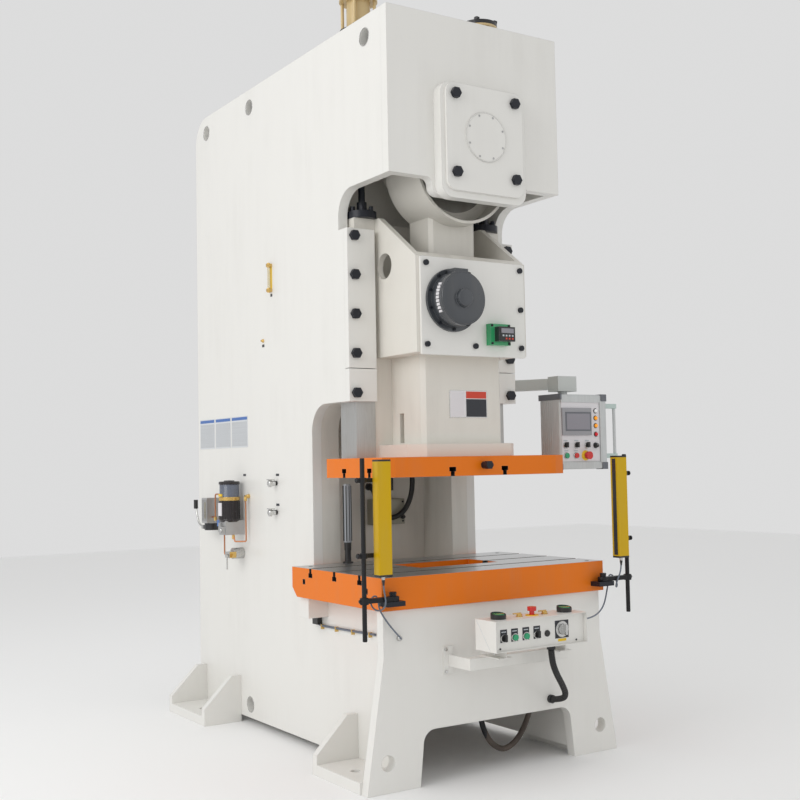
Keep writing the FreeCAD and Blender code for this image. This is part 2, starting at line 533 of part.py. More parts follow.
def bearings():
    outline = [("-capHalf", "capBottom"), ("capHalf", "capBottom"), ("capHalf", "capTop"),
               ("-capHalf", "capTop")]
    cap = padded("cap_blank", "XZ_Plane", [outline], "housingFace - capFace", (), ("0", "capFace", "0"),
                 [((0, 1, 2, 3), "capRound")], reverse=True)
    cover = rod("round_cover", "Y", "coverR", ("0", "crankZ"), ("capFace - coverThick", "capFace"))
    node(cut("cap", fuse("cap_cover", cap, cover), capDrills("cap_clear")), "bearing_cap")

    bolts = []
    for index, (x, z) in enumerate(capBoltSpots()):
        bolts.append(hexBolt("cap_bolt_%d" % index, x, z, "capFace"))
    for side, x in (("left", "-gibBoltX"), ("right", "gibBoltX")):
        for index, z in enumerate(gibBoltHeights()):
            bolts.append(hexBolt("gib_bolt_%s_%d" % (side, index), x, z, "gibSeat - gibThick"))
    node(group("bolts", *bolts), "frame_bolts")

    drop = "crankZ - gearModule * (gearTeeth + pinionTeeth) / 2"
    bushes = [
        bush("bush_front", "journalFrontR", "crankZ", "bushFrontStart", "bushFrontEnd"),
        bush("bush_rear", "journalRearR", "crankZ", "bushRearStart", "bushRearEnd"),
        bush("bush_pinion_front", "pinionShaftR", drop, "wallFront", "wallFront + wallThick"),
        bush("bush_pinion_rear", "pinionShaftR", drop, "gearWallFront", "gearWallFront + wallThick"),
    ]
    node(group("bushes", *bushes), "shaft_bushes")

    gibs = []
    for side, sign in (("left", -1), ("right", 1)):
        x = ("-frameHalf", "-gibInner") if sign < 0 else ("gibInner", "frameHalf")
        drills = boltHoles("gib_drills_" + side, sign)
        for part, z in (("upper", ("gibSplit", "gibTop")),
                        ("lower", ("throatTop", "gibSplit - gibSplitGap"))):
            blank = box("gib_%s_%s" % (side, part), x, ("gibSeat - gibThick", "gibSeat"), z)
            gibs.append(cut("gib_%s_%s_drilled" % (side, part), blank, drills))
    node(group("gibs", *gibs), "gib_plates")


def hexBolt(name, x, z, face):
    head = hexagon(name + "_head", "Y", "boltHeadR", (x, z), (face + " - boltHeadTall", face))
    shank = rod(name + "_shank", "Y", "boltShankR", (x, z), (face, "%s + boltShankLong" % face))
    return fuse(name, head, shank)


def bush(name, bore, z, start, end):
    outer = rod(name + "_outer", "Y", bore + " + bushThick", ("0", z), (start, end))
    inner = rod(name + "_bore", "Y", bore + " + runClear", ("0", z),
                (start + " - bushThick", end + " + bushThick"))
    return cut(name, outer, inner)


def gearOutline(teeth, module, addendum, dedendum, backlash, pressure, phase):
    # Involute flanks from just above the root to the tip, for one gear centred on the origin.
    pitchR = module * teeth / 2
    baseR = pitchR * math.cos(pressure)
    tipR = pitchR + addendum * module
    rootR = pitchR - dedendum * module
    half = math.pi / (2 * teeth) - backlash / (4 * pitchR)
    involute = math.tan(pressure) - pressure
    steps = 5
    flank = []
    for index in range(steps + 1):
        radius = max(baseR, rootR) + (tipR - max(baseR, rootR)) * index / steps
        angle = math.acos(min(1.0, baseR / radius))
        flank.append((radius, half + involute - (math.tan(angle) - angle)))
    points = []
    for tooth in range(teeth):
        middle = phase + 2 * math.pi * tooth / teeth
        if baseR > rootR:
            points.append((rootR, middle - flank[0][1]))
        points += [(radius, middle - angle) for radius, angle in flank]
        points += [(radius, middle + angle) for radius, angle in reversed(flank)]
        if baseR > rootR:
            points.append((rootR, middle + flank[0][1]))
    return [FreeCAD.Vector(radius * math.cos(angle), 0, radius * math.sin(angle)) for radius, angle in points]


def gearSolid(teeth, phase):
    points = gearOutline(teeth, sizes["gearModule"], sizes["gearAddendum"], sizes["gearDedendum"],
                         sizes["gearBacklash"], math.radians(sizes["pressureAngle"]), phase)
    wire = Part.makePolygon(points + [points[0]])
    return Part.Face(wire).extrude(FreeCAD.Vector(0, sizes["gearWide"], 0))


def feature(name, shape, x="0", y="0", z="0"):
    item = doc.addObject("Part::Feature", name)
    item.Shape = shape
    place(item, x, y, z)
    return item


def crank():
    front = rod("journal_front", "Y", "journalFrontR", ("0", "crankZ"), ("crankFrontEnd", "eccentricFront"))
    collarFront = rod("collar_front", "Y", "collarR", ("0", "crankZ"),
                      ("bossFrontEnd + guardGap", "shieldFront + bushThick"))
    eccentric = rod("eccentric", "Y", "eccentricR", ("0", "crankZ - crankThrow"),
                    ("eccentricFront", "eccentricRear"))
    collarRear = rod("collar_rear", "Y", "collarR", ("0", "crankZ"),
                     ("eccentricRear", "bushRearStart - guardGap"))
    rear = rod("journal_rear", "Y", "journalRearR", ("0", "crankZ"), ("eccentricRear", "gearFront"))
    seat = rod("gear_seat", "Y", "gearSeatR", ("0", "crankZ"), ("gearFront", "crankEnd"))
    node(fuse("crank", front, collarFront, eccentric, collarRear, rear, seat), "crankshaft")

    toothed = feature("gear_teeth", gearSolid(sizes["gearTeeth"], -math.pi / 2), "0", "gearFront", "crankZ")
    pitchR = "gearModule * gearTeeth / 2"
    bore = rod("gear_bore", "Y", "gearSeatR", ("0", "crankZ"),
               ("gearFront - gearWide", "gearFront + 2 * gearWide"))
    tools = [bore]
    for side, span in (("front", ("gearFront - guardGap", "gearFront + gearWebInset")),
                       ("rear", ("gearFront + gearWide - gearWebInset", "gearFront + gearWide + guardGap"))):
        ring = rod("gear_recess_%s_disc" % side, "Y", pitchR + " - gearRimDeep", ("0", "crankZ"), span)
        hub = rod("gear_recess_%s_hub" % side, "Y", "gearHubR", ("0", "crankZ"), span)
        tools.append(cut("gear_recess_" + side, ring, hub))
    for index in range(6):
        x = "gearHoleCircle * cos(%d)" % (60 * index)
        z = "crankZ + gearHoleCircle * sin(%d)" % (60 * index)
        tools.append(rod("gear_hole_%d" % index, "Y", "gearHoleR", (x, z),
                         ("gearFront", "gearFront + gearWide")))
    node(cut("bull_gear", toothed, *tools), "main_gear")


def connectingRod():
    pinZ = "crankZ - crankThrow"
    ring = rod("big_end", "Y", "bigEndR", ("0", pinZ), ("rodFront", "rodRear"))
    shield = rod("big_end_shield", "Y", "bigEndR", ("0", pinZ), ("shieldFront", "rodFront"))
    hollow = rod("big_end_hollow", "Y", "bigEndR - shieldThick", ("0", pinZ),
                 ("shieldFront - guardGap", "rodFront"))
    outline = [("-columnHalf", "columnFrontY"), ("columnHalf", "columnFrontY"),
               ("columnHalf", "rodRear"), ("-columnHalf", "rodRear")]
    shank = padded("rod_column", "XY_Plane", [outline], "%s - columnBottom" % pinZ, (),
                   ("0", "0", "columnBottom"), chamfers=[((0, 1), "columnChamfer")])
    bore = rod("big_end_bore", "Y", "eccentricR + linerThick", ("0", pinZ),
               ("rodFront - rodRear", "2 * rodRear"))
    screwHole = rod("screw_hole", "Z", "screwR", ("0", "(rodFront + rodRear) / 2"),
                    ("columnBottom - guardGap", "columnBottom + screwNutTall"))
    body = cut("rod_body", fuse("rod_blank", ring, shield, shank), hollow, bore, screwHole)
    liner = rod("liner_outer", "Y", "eccentricR + linerThick", ("0", pinZ), ("rodFront", "rodRear"))
    linerBore = rod("liner_bore", "Y", "eccentricR + runClear", ("0", pinZ),
                    ("rodFront - rodRear", "2 * rodRear"))
    node(group("rod", body, cut("liner", liner, linerBore)), "connecting_rod")

    middle = "(rodFront + rodRear) / 2"
    stem = rod("screw_stem", "Z", "screwR", ("0", middle), ("ballZ", "columnBottom + screwNutTall"))
    nut = rod("screw_nut", "Z", "screwNutR", ("0", middle), ("columnBottom - screwNutTall", "columnBottom"))
    end = ball("screw_ball", "ballR", "0", middle, "ballZ")
    node(fuse("screw", stem, nut, end), "adjusting_screw")


def drive():
    drop = "crankZ - gearModule * (gearTeeth + pinionTeeth) / 2"
    shaft = rod("pinion_bar", "Y", "pinionShaftR", ("0", drop), ("wallFront - guardGap", "pinionShaftEnd"))
    teeth = feature("pinion_teeth", gearSolid(sizes["pinionTeeth"], 0), "0", "gearFront", drop)
    clutch = rod("clutch_disc", "Y", "clutchR", ("0", drop), ("clutchFront", "clutchRear"))
    plates = []
    for index in range(6):
        x = "clutchR * 0.7 * cos(%d)" % (60 * index)
        z = "%s + clutchR * 0.7 * sin(%d)" % (drop, 60 * index)
        plates.append(hexagon("clutch_nut_%d" % index, "Y", "boltShankR", (x, z),
                              ("clutchRear", "clutchRear + boltShankR")))
    node(fuse("pinion", shaft, teeth, clutch, *plates), "pinion_shaft")

    rim = rod("wheel_blank", "Y", "flywheelR", ("0", drop), ("flywheelFront", "flywheelRear"))
    bore = rod("wheel_bore", "Y", "pinionShaftR + runClear", ("0", drop),
               ("flywheelFront - wallThick", "flywheelRear + wallThick"))
    tools = [bore]
    middle = "(flywheelFront + flywheelRear) / 2"
    for side, span in (("front", ("flywheelFront - guardGap", middle + " - flywheelWeb / 2")),
                       ("rear", (middle + " + flywheelWeb / 2", "flywheelRear + guardGap"))):
        disc = rod("wheel_recess_%s_disc" % side, "Y", "flywheelR - flywheelRim", ("0", drop), span)
        hub = rod("wheel_recess_%s_hub" % side, "Y", "flywheelHubR", ("0", drop), span)
        tools.append(cut("wheel_recess_" + side, disc, hub))
    node(cut("wheel", rim, *tools), "flywheel")

    barrel = rod("motor_barrel", "Y", "motorR - motorFin", ("0", "motorZ"), ("motorFront", "motorRear"))
    parts = [barrel]
    for index in range(sizes["motorFinCount"]):
        start = "motorFront + (%d + 0.5) * (motorRear - motorFront) / motorFinCount" % index
        parts.append(rod("motor_fin_%d" % index, "Y", "motorR", ("0", "motorZ"),
                         (start, start + " + motorFinThick")))
    parts.append(box("motor_foot", ("-motorFootHalf", "motorFootHalf"),
                     ("motorFront + motorFin", "motorRear - motorFin"),
                     ("shelfTop", "motorZ - motorR / 2")))
    parts.append(box("motor_terminals", ("motorR - 2 * motorFin", "motorR + motorFootHalf / 2"),
                     ("motorFront + motorR", "motorFront + 2 * motorR"), ("motorZ - motorR / 2",
                                                                          "motorZ + motorR / 2")))
    bore = rod("motor_bore", "Y", "motorShaftR + runClear", ("0", "motorZ"),
               ("motorRear - motorFootHalf", "motorRear + motorFin"))
    node(cut("motor_body", fuse("motor_blank", *parts), bore), "motor")

    pulley = rod("pulley_disc", "Y", "pulleyR", ("0", "motorZ"),
                 ("pulleyFront", "beltFront + beltWide + beltThick"))
    shaft = rod("motor_shaft", "Y", "motorShaftR", ("0", "motorZ"),
                ("motorRear - motorFootHalf + guardGap", "beltFront + beltWide + beltThick"))
    node(fuse("pulley", pulley, shaft), "motor_pulley")
    node(feature("belt", beltSolid(), "0", "beltFront", "motorZ"), "drive_belt")


def beltSolid():
    # The flat loop round flywheel and pulley: two arcs and their outer tangents, hollowed by its thickness.
    centres = sizes["gearModule"] * (sizes["gearTeeth"] + sizes["pinionTeeth"]) / 2
    rise = sizes["crankZ"] - centres - sizes["motorZ"]

    def loop(extra):
        big = sizes["flywheelR"] + sizes["beltClear"] + extra
        small = sizes["pulleyR"] + sizes["beltClear"] + extra
        lean = math.asin((big - small) / rise)
        side = FreeCAD.Vector(math.cos(lean), 0, -math.sin(lean))
        mirror = FreeCAD.Vector(-side.x, 0, side.z)
        top = FreeCAD.Vector(0, 0, rise)
        ends = [side * small, top + side * big, top + mirror * big, mirror * small]
        edges = [
            Part.LineSegment(ends[0], ends[1]).toShape(),
            Part.Arc(ends[1], top + FreeCAD.Vector(0, 0, big), ends[2]).toShape(),
            Part.LineSegment(ends[2], ends[3]).toShape(),
            Part.Arc(ends[3], FreeCAD.Vector(0, 0, -small), ends[0]).toShape(),
        ]
        return Part.Face(Part.Wire(edges)).extrude(FreeCAD.Vector(0, sizes["beltWide"], 0))

    return loop(sizes["beltThick"]).cut(loop(0))


def slide():
    outline = [("slideFront", "slideBottom"), ("slideFront", "slideShoulder"), ("earSlopeY", "earTop"),
               ("slideRear", "earTop"), ("slideRear", "slideBottom")]
    upper = padded("slide_upper", "YZ_Plane", [outline], "2 * slideHalf", (), ("-slideHalf", "0", "0"))
    cavity = box("slide_cavity", ("-slideHalf + slideWall", "slideHalf - slideWall"),
                 ("slideFront + slideWall", "slideRear - slideWall"), ("slideBottom + slideWall",
                                                                       "earTop + slideWall"))
    outline = [("-neckHalf + neckChamfer", "neckFront"), ("neckHalf - neckChamfer", "neckFront"),
               ("neckHalf", "neckFront + neckChamfer"), ("neckHalf", "slideRear - neckChamfer"),
               ("-neckHalf", "slideRear - neckChamfer"), ("-neckHalf", "neckFront + neckChamfer")]
    neck = padded("slide_neck", "XY_Plane", [outline], "slideBottom - dieTop", (), ("0", "0", "dieTop"))
    outline = [("-baseHalf + baseCorner", "baseFront"), ("baseHalf - baseCorner", "baseFront"),
               ("baseHalf", "baseFront + baseCorner"), ("baseHalf", "slideRear"),
               ("-baseHalf", "slideRear"), ("-baseHalf", "baseFront + baseCorner")]
    base = padded("slide_base", "XY_Plane", [outline], "baseTop - dieTop", (), ("0", "0", "dieTop"))
    web = box("slide_web", ("-webHalf", "webHalf"), ("webFront", "slideRear"), ("dieTop", "webTop"))
    ears = [box("ear_" + side, x, ("earFront", "slideRear"), ("earBottom", "earTop"))
            for side, x in (("left", ("-earOuter", "-earInner")), ("right", ("earInner", "earOuter")))]
    pit = box("neck_cavity", ("-neckHalf + neckWall", "neckHalf - neckWall"),
              ("neckFront + neckWall", "slideRear - 2 * neckWall"), ("neckFloor",
                                                                     "slideBottom + 2 * slideWall"))
    view = rod("cheek_hole", "X", "cheekHoleR", ("cheekHoleY", "cheekHoleZ"),
               ("-2 * slideHalf", "2 * slideHalf"))
    slots = []
    for side, x in (("left", ("-2 * neckHalf", "-neckHalf + slotDeep")),
                    ("right", ("neckHalf - slotDeep", "2 * neckHalf"))):
        slots.append(box("neck_slot_" + side, x, ("slotY - slotHalf", "slotY + slotHalf"),
                         ("slotBottom", "slotTop")))
    taps = coverDrills("cover_taps")
    blank = fuse("slide_blank", upper, neck, base, web, *ears)
    node(cut("slide_casting", blank, cavity, pit, view, taps, *slots), "slide_body")

    outline = [("-coverHalf", "coverBottom"), ("coverHalf", "coverBottom"), ("coverHalf", "coverTop"),
               ("-coverHalf", "coverTop")]
    cover = padded("cover_blank", "XZ_Plane", [outline], "coverPlate", (),
                   ("0", "slideFront - coverPlate", "0"), [((0, 1, 2, 3), "screwR")], reverse=True)
    node(cut("cover", cover, coverDrills("cover_clear")), "slide_cover")

    guides = [box("guide_" + side, x, ("gibSeat + guideClear", "columnFront - guideClear"),
                  ("dieTop", "earBottom"))
              for side, x in (("left", ("-guideOuter", "-webHalf")), ("right", ("webHalf", "guideOuter")))]
    node(group("guides", *guides), "slide_guides")
    node(diePlate(), "slide_plate")

    screws = []
    for index, (x, z) in enumerate(coverScrewSpots()):
        face = "slideFront - coverPlate"
        head = rod("screw_head_%d" % index, "Y", "screwHeadR", (x, z), (face + " - screwHeadTall", face))
        shank = rod("screw_shank_%d" % index, "Y", "screwR", (x, z), (face, "slideFront + coverPlate"))
        screws.append(fuse("cover_screw_%d" % index, head, shank))
    stem = rod("stop_stem", "Y", "stopBoltR", ("stopBoltX", "stopBoltZ"),
               ("dieFront - stopBoltLong", "dieFront + stopBoltDeep"))
    head = hexagon("stop_head", "Y", "stopBoltHeadR", ("stopBoltX", "stopBoltZ"),
                   ("dieFront - stopBoltLong", "dieFront - stopBoltLong + stopBoltHead"))
    node(group("slide_screws", *screws, fuse("stop_bolt", stem, head)), "slide_bolts")


def coverScrewSpots():
    spots = [(x, z) for x in ("-screwX", "screwX") for z in ("screwTop", "screwBottom")]
    return spots + [("screwX", "screwMid"), ("0", "screwBottom")]


def coverDrills(name):
    span = ("slideFront - 2 * coverPlate", "slideFront + coverPlate + holeClear")
    return fuse(name, *[rod("%s_%d" % (name, index), "Y", "screwR + holeClear", spot, span)
                        for index, spot in enumerate(coverScrewSpots())])


def teeSlot(name, axis, centre, span, face, up):
    # A T-slot along X or Y that opens at the face and goes down from it, or up for a hanging plate.
    sign = "+" if up else "-"
    neckZ = (face, "%s %s slotNeckDeep" % (face, sign))
    teeZ = (neckZ[1], "%s %s slotNeckDeep %s slotTeeDeep" % (face, sign, sign))
    parts = []
    for part, width, (a, b) in (("neck", "slotNeck", neckZ), ("tee", "slotTee", teeZ)):
        z = (a, b) if up else (b, a)
        if part == "neck":
            z = (z[0] + " - holeClear", z[1]) if up else (z[0], z[1] + " + holeClear")
        band = ("%s - %s / 2" % (centre, width), "%s + %s / 2" % (centre, width))
        parts.append(box("%s_%s" % (name, part), *((span, band, z) if axis == "X" else (band, span, z))))
    return fuse(name, *parts)


def diePlate():
    outline = [("-dieHalf + dieChamferWide", "dieFront"), ("dieHalf - dieChamferWide", "dieFront"),
               ("dieHalf", "dieFront + dieChamferDeep"), ("dieHalf", "dieRear"),
               ("-dieHalf", "dieRear"), ("-dieHalf", "dieFront + dieChamferDeep")]
    plate = padded("die_blank", "XY_Plane", [outline], "dieTop - dieBottom", (), ("0", "0", "dieBottom"))
    across = ("-dieHalf - dieChamferWide", "dieHalf + dieChamferWide")
    deep = ("dieFront - dieChamferDeep", "dieRear + dieChamferDeep")
    slots = [teeSlot("die_slot_x_%d" % index, "X", y, across, "dieBottom", True)
             for index, y in enumerate(("dieSlotFront", "dieSlotRear"))]
    slots += [teeSlot("die_slot_y_%d" % index, "Y", x, deep, "dieBottom", True)
              for index, x in enumerate(("-dieSlotX", "dieSlotX"))]
    tap = rod("stop_tap", "Y", "stopBoltR + holeClear", ("stopBoltX", "stopBoltZ"),
              ("dieFront - stopBoltDeep", "dieFront + stopBoltDeep + holeClear"))
    return cut("die_plate", plate, tap, *slots)


def slideFittings():
    face = "slideFront - coverPlate"
    flange = rod("dial_flange", "Y", "dialFlangeR", ("dialX", "dialZ"), (face + " - dialFlange", face))
    drum = rod("dial_drum", "Y", "dialDrumR", ("dialX", "dialZ"), ("dialFace", face + " - dialFlange"))
    hub = rod("dial_hub", "Y", "dialHubR", ("dialX", "dialZ"), ("dialFace - dialHub", "dialFace"))
    plug = box("dial_plug", ("dialX - plugHalf", "dialX + plugHalf"), ("plugFront", "plugRear"),
               ("dialZ + dialDrumR - plugHalf", "dialZ + dialDrumR - plugHalf + plugTall"))
    dial = fuse("dial", flange, drum, hub, plug)
    base = box("counter_base", ("counterX - counterHalf", "counterX + counterHalf"),
               (face + " - counterBase", face), ("counterZ - counterTall", "counterZ + counterTall"))
    display = box("counter_display", ("counterX + displayShift - displayHalf",
                                      "counterX + displayShift + displayHalf"),
                  (face + " - counterBase - displayDeep", face + " - counterBase"),
                  ("counterZ - displayTall", "counterZ + displayTall"))
    node(group("gauges", dial, fuse("counter", base, display)), "slide_gauges")

    tubes = []
    for side, x in (("left", "-balanceX"), ("right", "balanceX")):
        spot = (x, "balanceY")
        outer = rod("tube_outer_" + side, "Z", "tubeR", spot, ("tubeBottom", "tubeTop"))
        caps = [rod("tube_cap_top_" + side, "Z", "tubeCapR", spot, ("tubeTop", "tubeTop + tubeCap"))]
        caps.append(rod("tube_cap_low_" + side, "Z", "tubeCapR", spot, ("frameTop", "frameTop + tubeCap")))
        for index in range(4):
            angle = 90 * index + 45
            tie = ("%s + tieCircle * cos(%d)" % (x, angle), "balanceY + tieCircle * sin(%d)" % angle)
            caps.append(rod("tie_%s_%d" % (side, index), "Z", "tieR", tie,
                            ("frameTop + tubeCap", "tubeTop + tubeCap + 2 * tieR")))
            caps.append(hexagon("tie_nut_%s_%d" % (side, index), "Z", "2 * tieR", tie,
                                ("tubeTop + tubeCap", "tubeTop + tubeCap + 1.5 * tieR")))
        inner = rod("tube_inner_" + side, "Z", "tubeR - tubeWall", spot,
                    ("tubeBottom + tubeWall", "tubeTop - tubeWall"))
        rodHole = rod("tube_rod_hole_" + side, "Z", "balanceRodR + runClear", spot,
                      ("tubeBottom - tubeWall", "tubeBottom + 2 * tubeWall"))
        tubes.append(cut("tube_" + side, fuse("tube_blank_" + side, outer, *caps), inner, rodHole))
    node(group("tubes", *tubes), "balance_cylinders")

    rods = []
    for side, x in (("left", "-balanceX"), ("right", "balanceX")):
        spot = (x, "balanceY")
        parts = [
            rod("rod_bar_" + side, "Z", "balanceRodR", spot, ("earTop", "rodTop + pistonTall")),
            rod("rod_piston_" + side, "Z", "tubeR - tubeWall - runClear", spot,
                ("rodTop", "rodTop + pistonTall")),
            rod("rod_flange_" + side, "Z", "flangeR", spot, ("earTop", "earTop + flangeTall")),
            rod("rod_hub_" + side, "Z", "flangeHubR", spot,
                ("earTop + flangeTall", "earTop + flangeHubTall")),
        ]
        for index in range(6):
            angle = 60 * index
            stud = ("%s + studCircle * cos(%d)" % (x, angle), "balanceY + studCircle * sin(%d)" % angle)
            parts.append(rod("rod_stud_%s_%d" % (side, index), "Z", "studR", stud,
                             ("earTop + flangeTall", "earTop + flangeTall + studTall")))
        rods.append(fuse("balance_rod_" + side, *parts))
    node(group("rods", *rods), "balance_rods")


def bolster():
    outline = [("0", "bedTop"), ("bolsterRear - bolsterEdge", "bedTop"),
               ("bolsterRear", "bedTop + bolsterEdge"),
               ("bolsterRear", "bolsterTop"), ("0", "bolsterTop")]
    plate = padded("bolster_blank", "YZ_Plane", [outline], "2 * bolsterHalf", (), ("-bolsterHalf", "0", "0"))
    across = ("-bolsterHalf - bolsterEdge", "bolsterHalf + bolsterEdge")
    tools = [teeSlot("bolster_slot_%d" % index, "X", y, across, "bolsterTop", False)
             for index, y in enumerate(("bolsterSlotFront", "bolsterSlotMid", "bolsterSlotRear"))]
    tools.append(box("bolster_hole", ("-dieHoleHalf", "dieHoleHalf"), ("dieHoleFront", "dieHoleRear"),
                     ("bedTop - bolsterEdge", "bolsterTop + bolsterEdge")))
    for index, y in enumerate(("liftTapFront", "liftTapRear")):
        for side, x in (("left", ("-bolsterHalf - guardGap", "-bolsterHalf + liftTapDeep")),
                        ("right", ("bolsterHalf - liftTapDeep", "bolsterHalf + guardGap"))):
            tools.append(rod("bolster_tap_%s_%d" % (side, index), "X", "liftTapR", (y, "liftTapZ"), x))
    node(cut("bolster_plate", plate, *tools), "bolster")


def route(points, bend=None):
    # Straight runs joined by tangent arcs, each as large as its shorter run allows unless a bend is given.
    spots = [FreeCAD.Vector(*point) for point in points]
    edges = []
    radii = []
    start = spots[0]
    for before, here, after in zip(spots, spots[1:], spots[2:]):
        inRun = here - before
        outRun = after - here
        turn = inRun.getAngle(outRun)
        reach = 0.45 * min(inRun.Length, outRun.Length)
        radius = reach / math.tan(turn / 2) if bend is None else bend
        reach = radius * math.tan(turn / 2)
        inRun.normalize()
        outRun.normalize()
        inward = outRun - inRun
        inward.normalize()
        middle = here + inward * (radius / math.cos(turn / 2) - radius)
        edges.append(Part.LineSegment(start, here - inRun * reach).toShape())
        edges.append(Part.Arc(here - inRun * reach, middle, here + outRun * reach).toShape())
        start = here + outRun * reach
        radii.append(radius)
    edges.append(Part.LineSegment(start, spots[-1]).toShape())
    return Part.Wire(edges), radii


def tube(name, points, radius, bend=None):
    # A round solid along a route, with its volume compared with section times length.
    path, radii = route(points, bend)
    first = FreeCAD.Vector(*points[1]) - FreeCAD.Vector(*points[0])
    ring = Part.Wire(Part.makeCircle(radius, FreeCAD.Vector(*points[0]), first))
    solid = path.makePipeShell([ring], True, False)
    ratio = solid.Volume / (math.pi * radius ** 2 * path.Length)
    print(name, "length", round(path.Length), "smallest bend", round(min(radii)), "fill", round(ratio, 4))
    return feature(name, solid)


# Where each free hose and cable runs, from its first end to its last.
consoleHoseRoute = [(71, -262, 567), (86, -248, 512), (135, -216, 450), (205, -172, 388), (270, -122, 330),
                    (298, -66, 294), (294, 0, 284)]
bedHoseRoute = [(-40, 120, 252), (-30, 120, 206), (-10, 120, 150), (28, 120, 96), (84, 120, 62),
                (142, 120, 74), (192, 120, 114), (226, 120, 164), (250, 120, 212), (262, 120, 252)]
throatHoseRoute = [(202, 1082, 1425), (204, 1040, 1405), (206, 1010, 1350), (204, 1000, 1290),
                   (198, 1000, 1232), (180, 1000, 1178), (149, 1000, 1134), (108, 1000, 1106),
                   (62, 1000, 1096), (20, 1003, 1113), (-6, 1008, 1150), (-14, 1020, 1200),
                   (-12, 1045, 1245), (-12, 1082, 1262)]
leftPigtailRoute = [(-657, -67, 889), (-656, -67, 862), (-650, -66, 836), (-645, -64, 812), (-645, -60, 793),
                    (-653, -53, 778), (-668, -44, 772), (-683, -34, 778), (-691, -24, 793), (-690, -14, 810),
                    (-681, -10, 823), (-669, -9, 831), (-657, -9, 829), (-649, -9, 817)]
leftCableRoute = [(-649, -9, 813), (-647, -9, 800), (-645, -9, 779), (-632, -9, 753), (-612, -8, 726),
                  (-590, -6, 699), (-566, -4, 674), (-546, -2, 654), (-532, 0, 640)]
rightPigtailRoute = [(682, -67, 889), (680, -67, 864), (672, -67, 840), (661, -66, 818), (654, -62, 798),
                     (656, -54, 781), (668, -44, 773), (683, -34, 778), (691, -24, 793), (690, -14, 810),
                     (681, -10, 823), (669, -9, 831), (657, -9, 829), (649, -9, 817)]
rightCableRoute = [(649, -9, 813), (647, -9, 799), (645, -9, 777), (637, -10, 752), (624, -16, 727),
                   (604, -28, 704), (576, -45, 686), (540, -66, 673), (500, -88, 664), (456, -110, 659),
                   (410, -129, 657), (364, -144, 659), (322, -154, 663), (284, -160, 668), (248, -163, 674)]


def hoses():
    node(tube("console_hose_tube", consoleHoseRoute, sizes["consoleHoseR"]), "console_hose")
    node(tube("bed_hose_tube", bedHoseRoute, sizes["bedHoseR"]), "bed_hose")
    node(tube("throat_hose_tube", throatHoseRoute, sizes["throatHoseR"]), "throat_hose")
    cables = [tube("cable_left", leftCableRoute, sizes["cableR"]),
              tube("cable_right", rightCableRoute, sizes["cableR"])]
    node(group("cables", *cables), "curtain_cables")


def glands():
    # The collars that hold the hose ends: console, bed front, throat plate and hose tray.
    front = "bedFront"
    plate = "columnRear"
    return [
        rod("gland_console", "Z", "glandR", ("71", "-262"), ("consoleBottom - glandLong", "consoleBottom")),
        rod("gland_bed", "Y", "glandR", ("294", "284"), (front + " - glandLong", front)),
        rod("gland_throat_right", "Y", "glandR", ("202", "1425"), (plate + " - glandLong", plate)),
        rod("gland_throat_left", "Y", "glandR", ("-12", "1262"), (plate + " - glandLong", plate)),
        rod("gland_tray_left", "Z", "glandR", ("-40", "120"), ("trayBottom - glandLong", "trayBottom")),
        rod("gland_tray_right", "Z", "glandR", ("262", "120"), ("trayBottom - glandLong", "trayBottom")),
        rod("gland_cable_left", "Y", "2 * cableR", ("-532", "640"), (front + " - glandLong", front)),
    ]


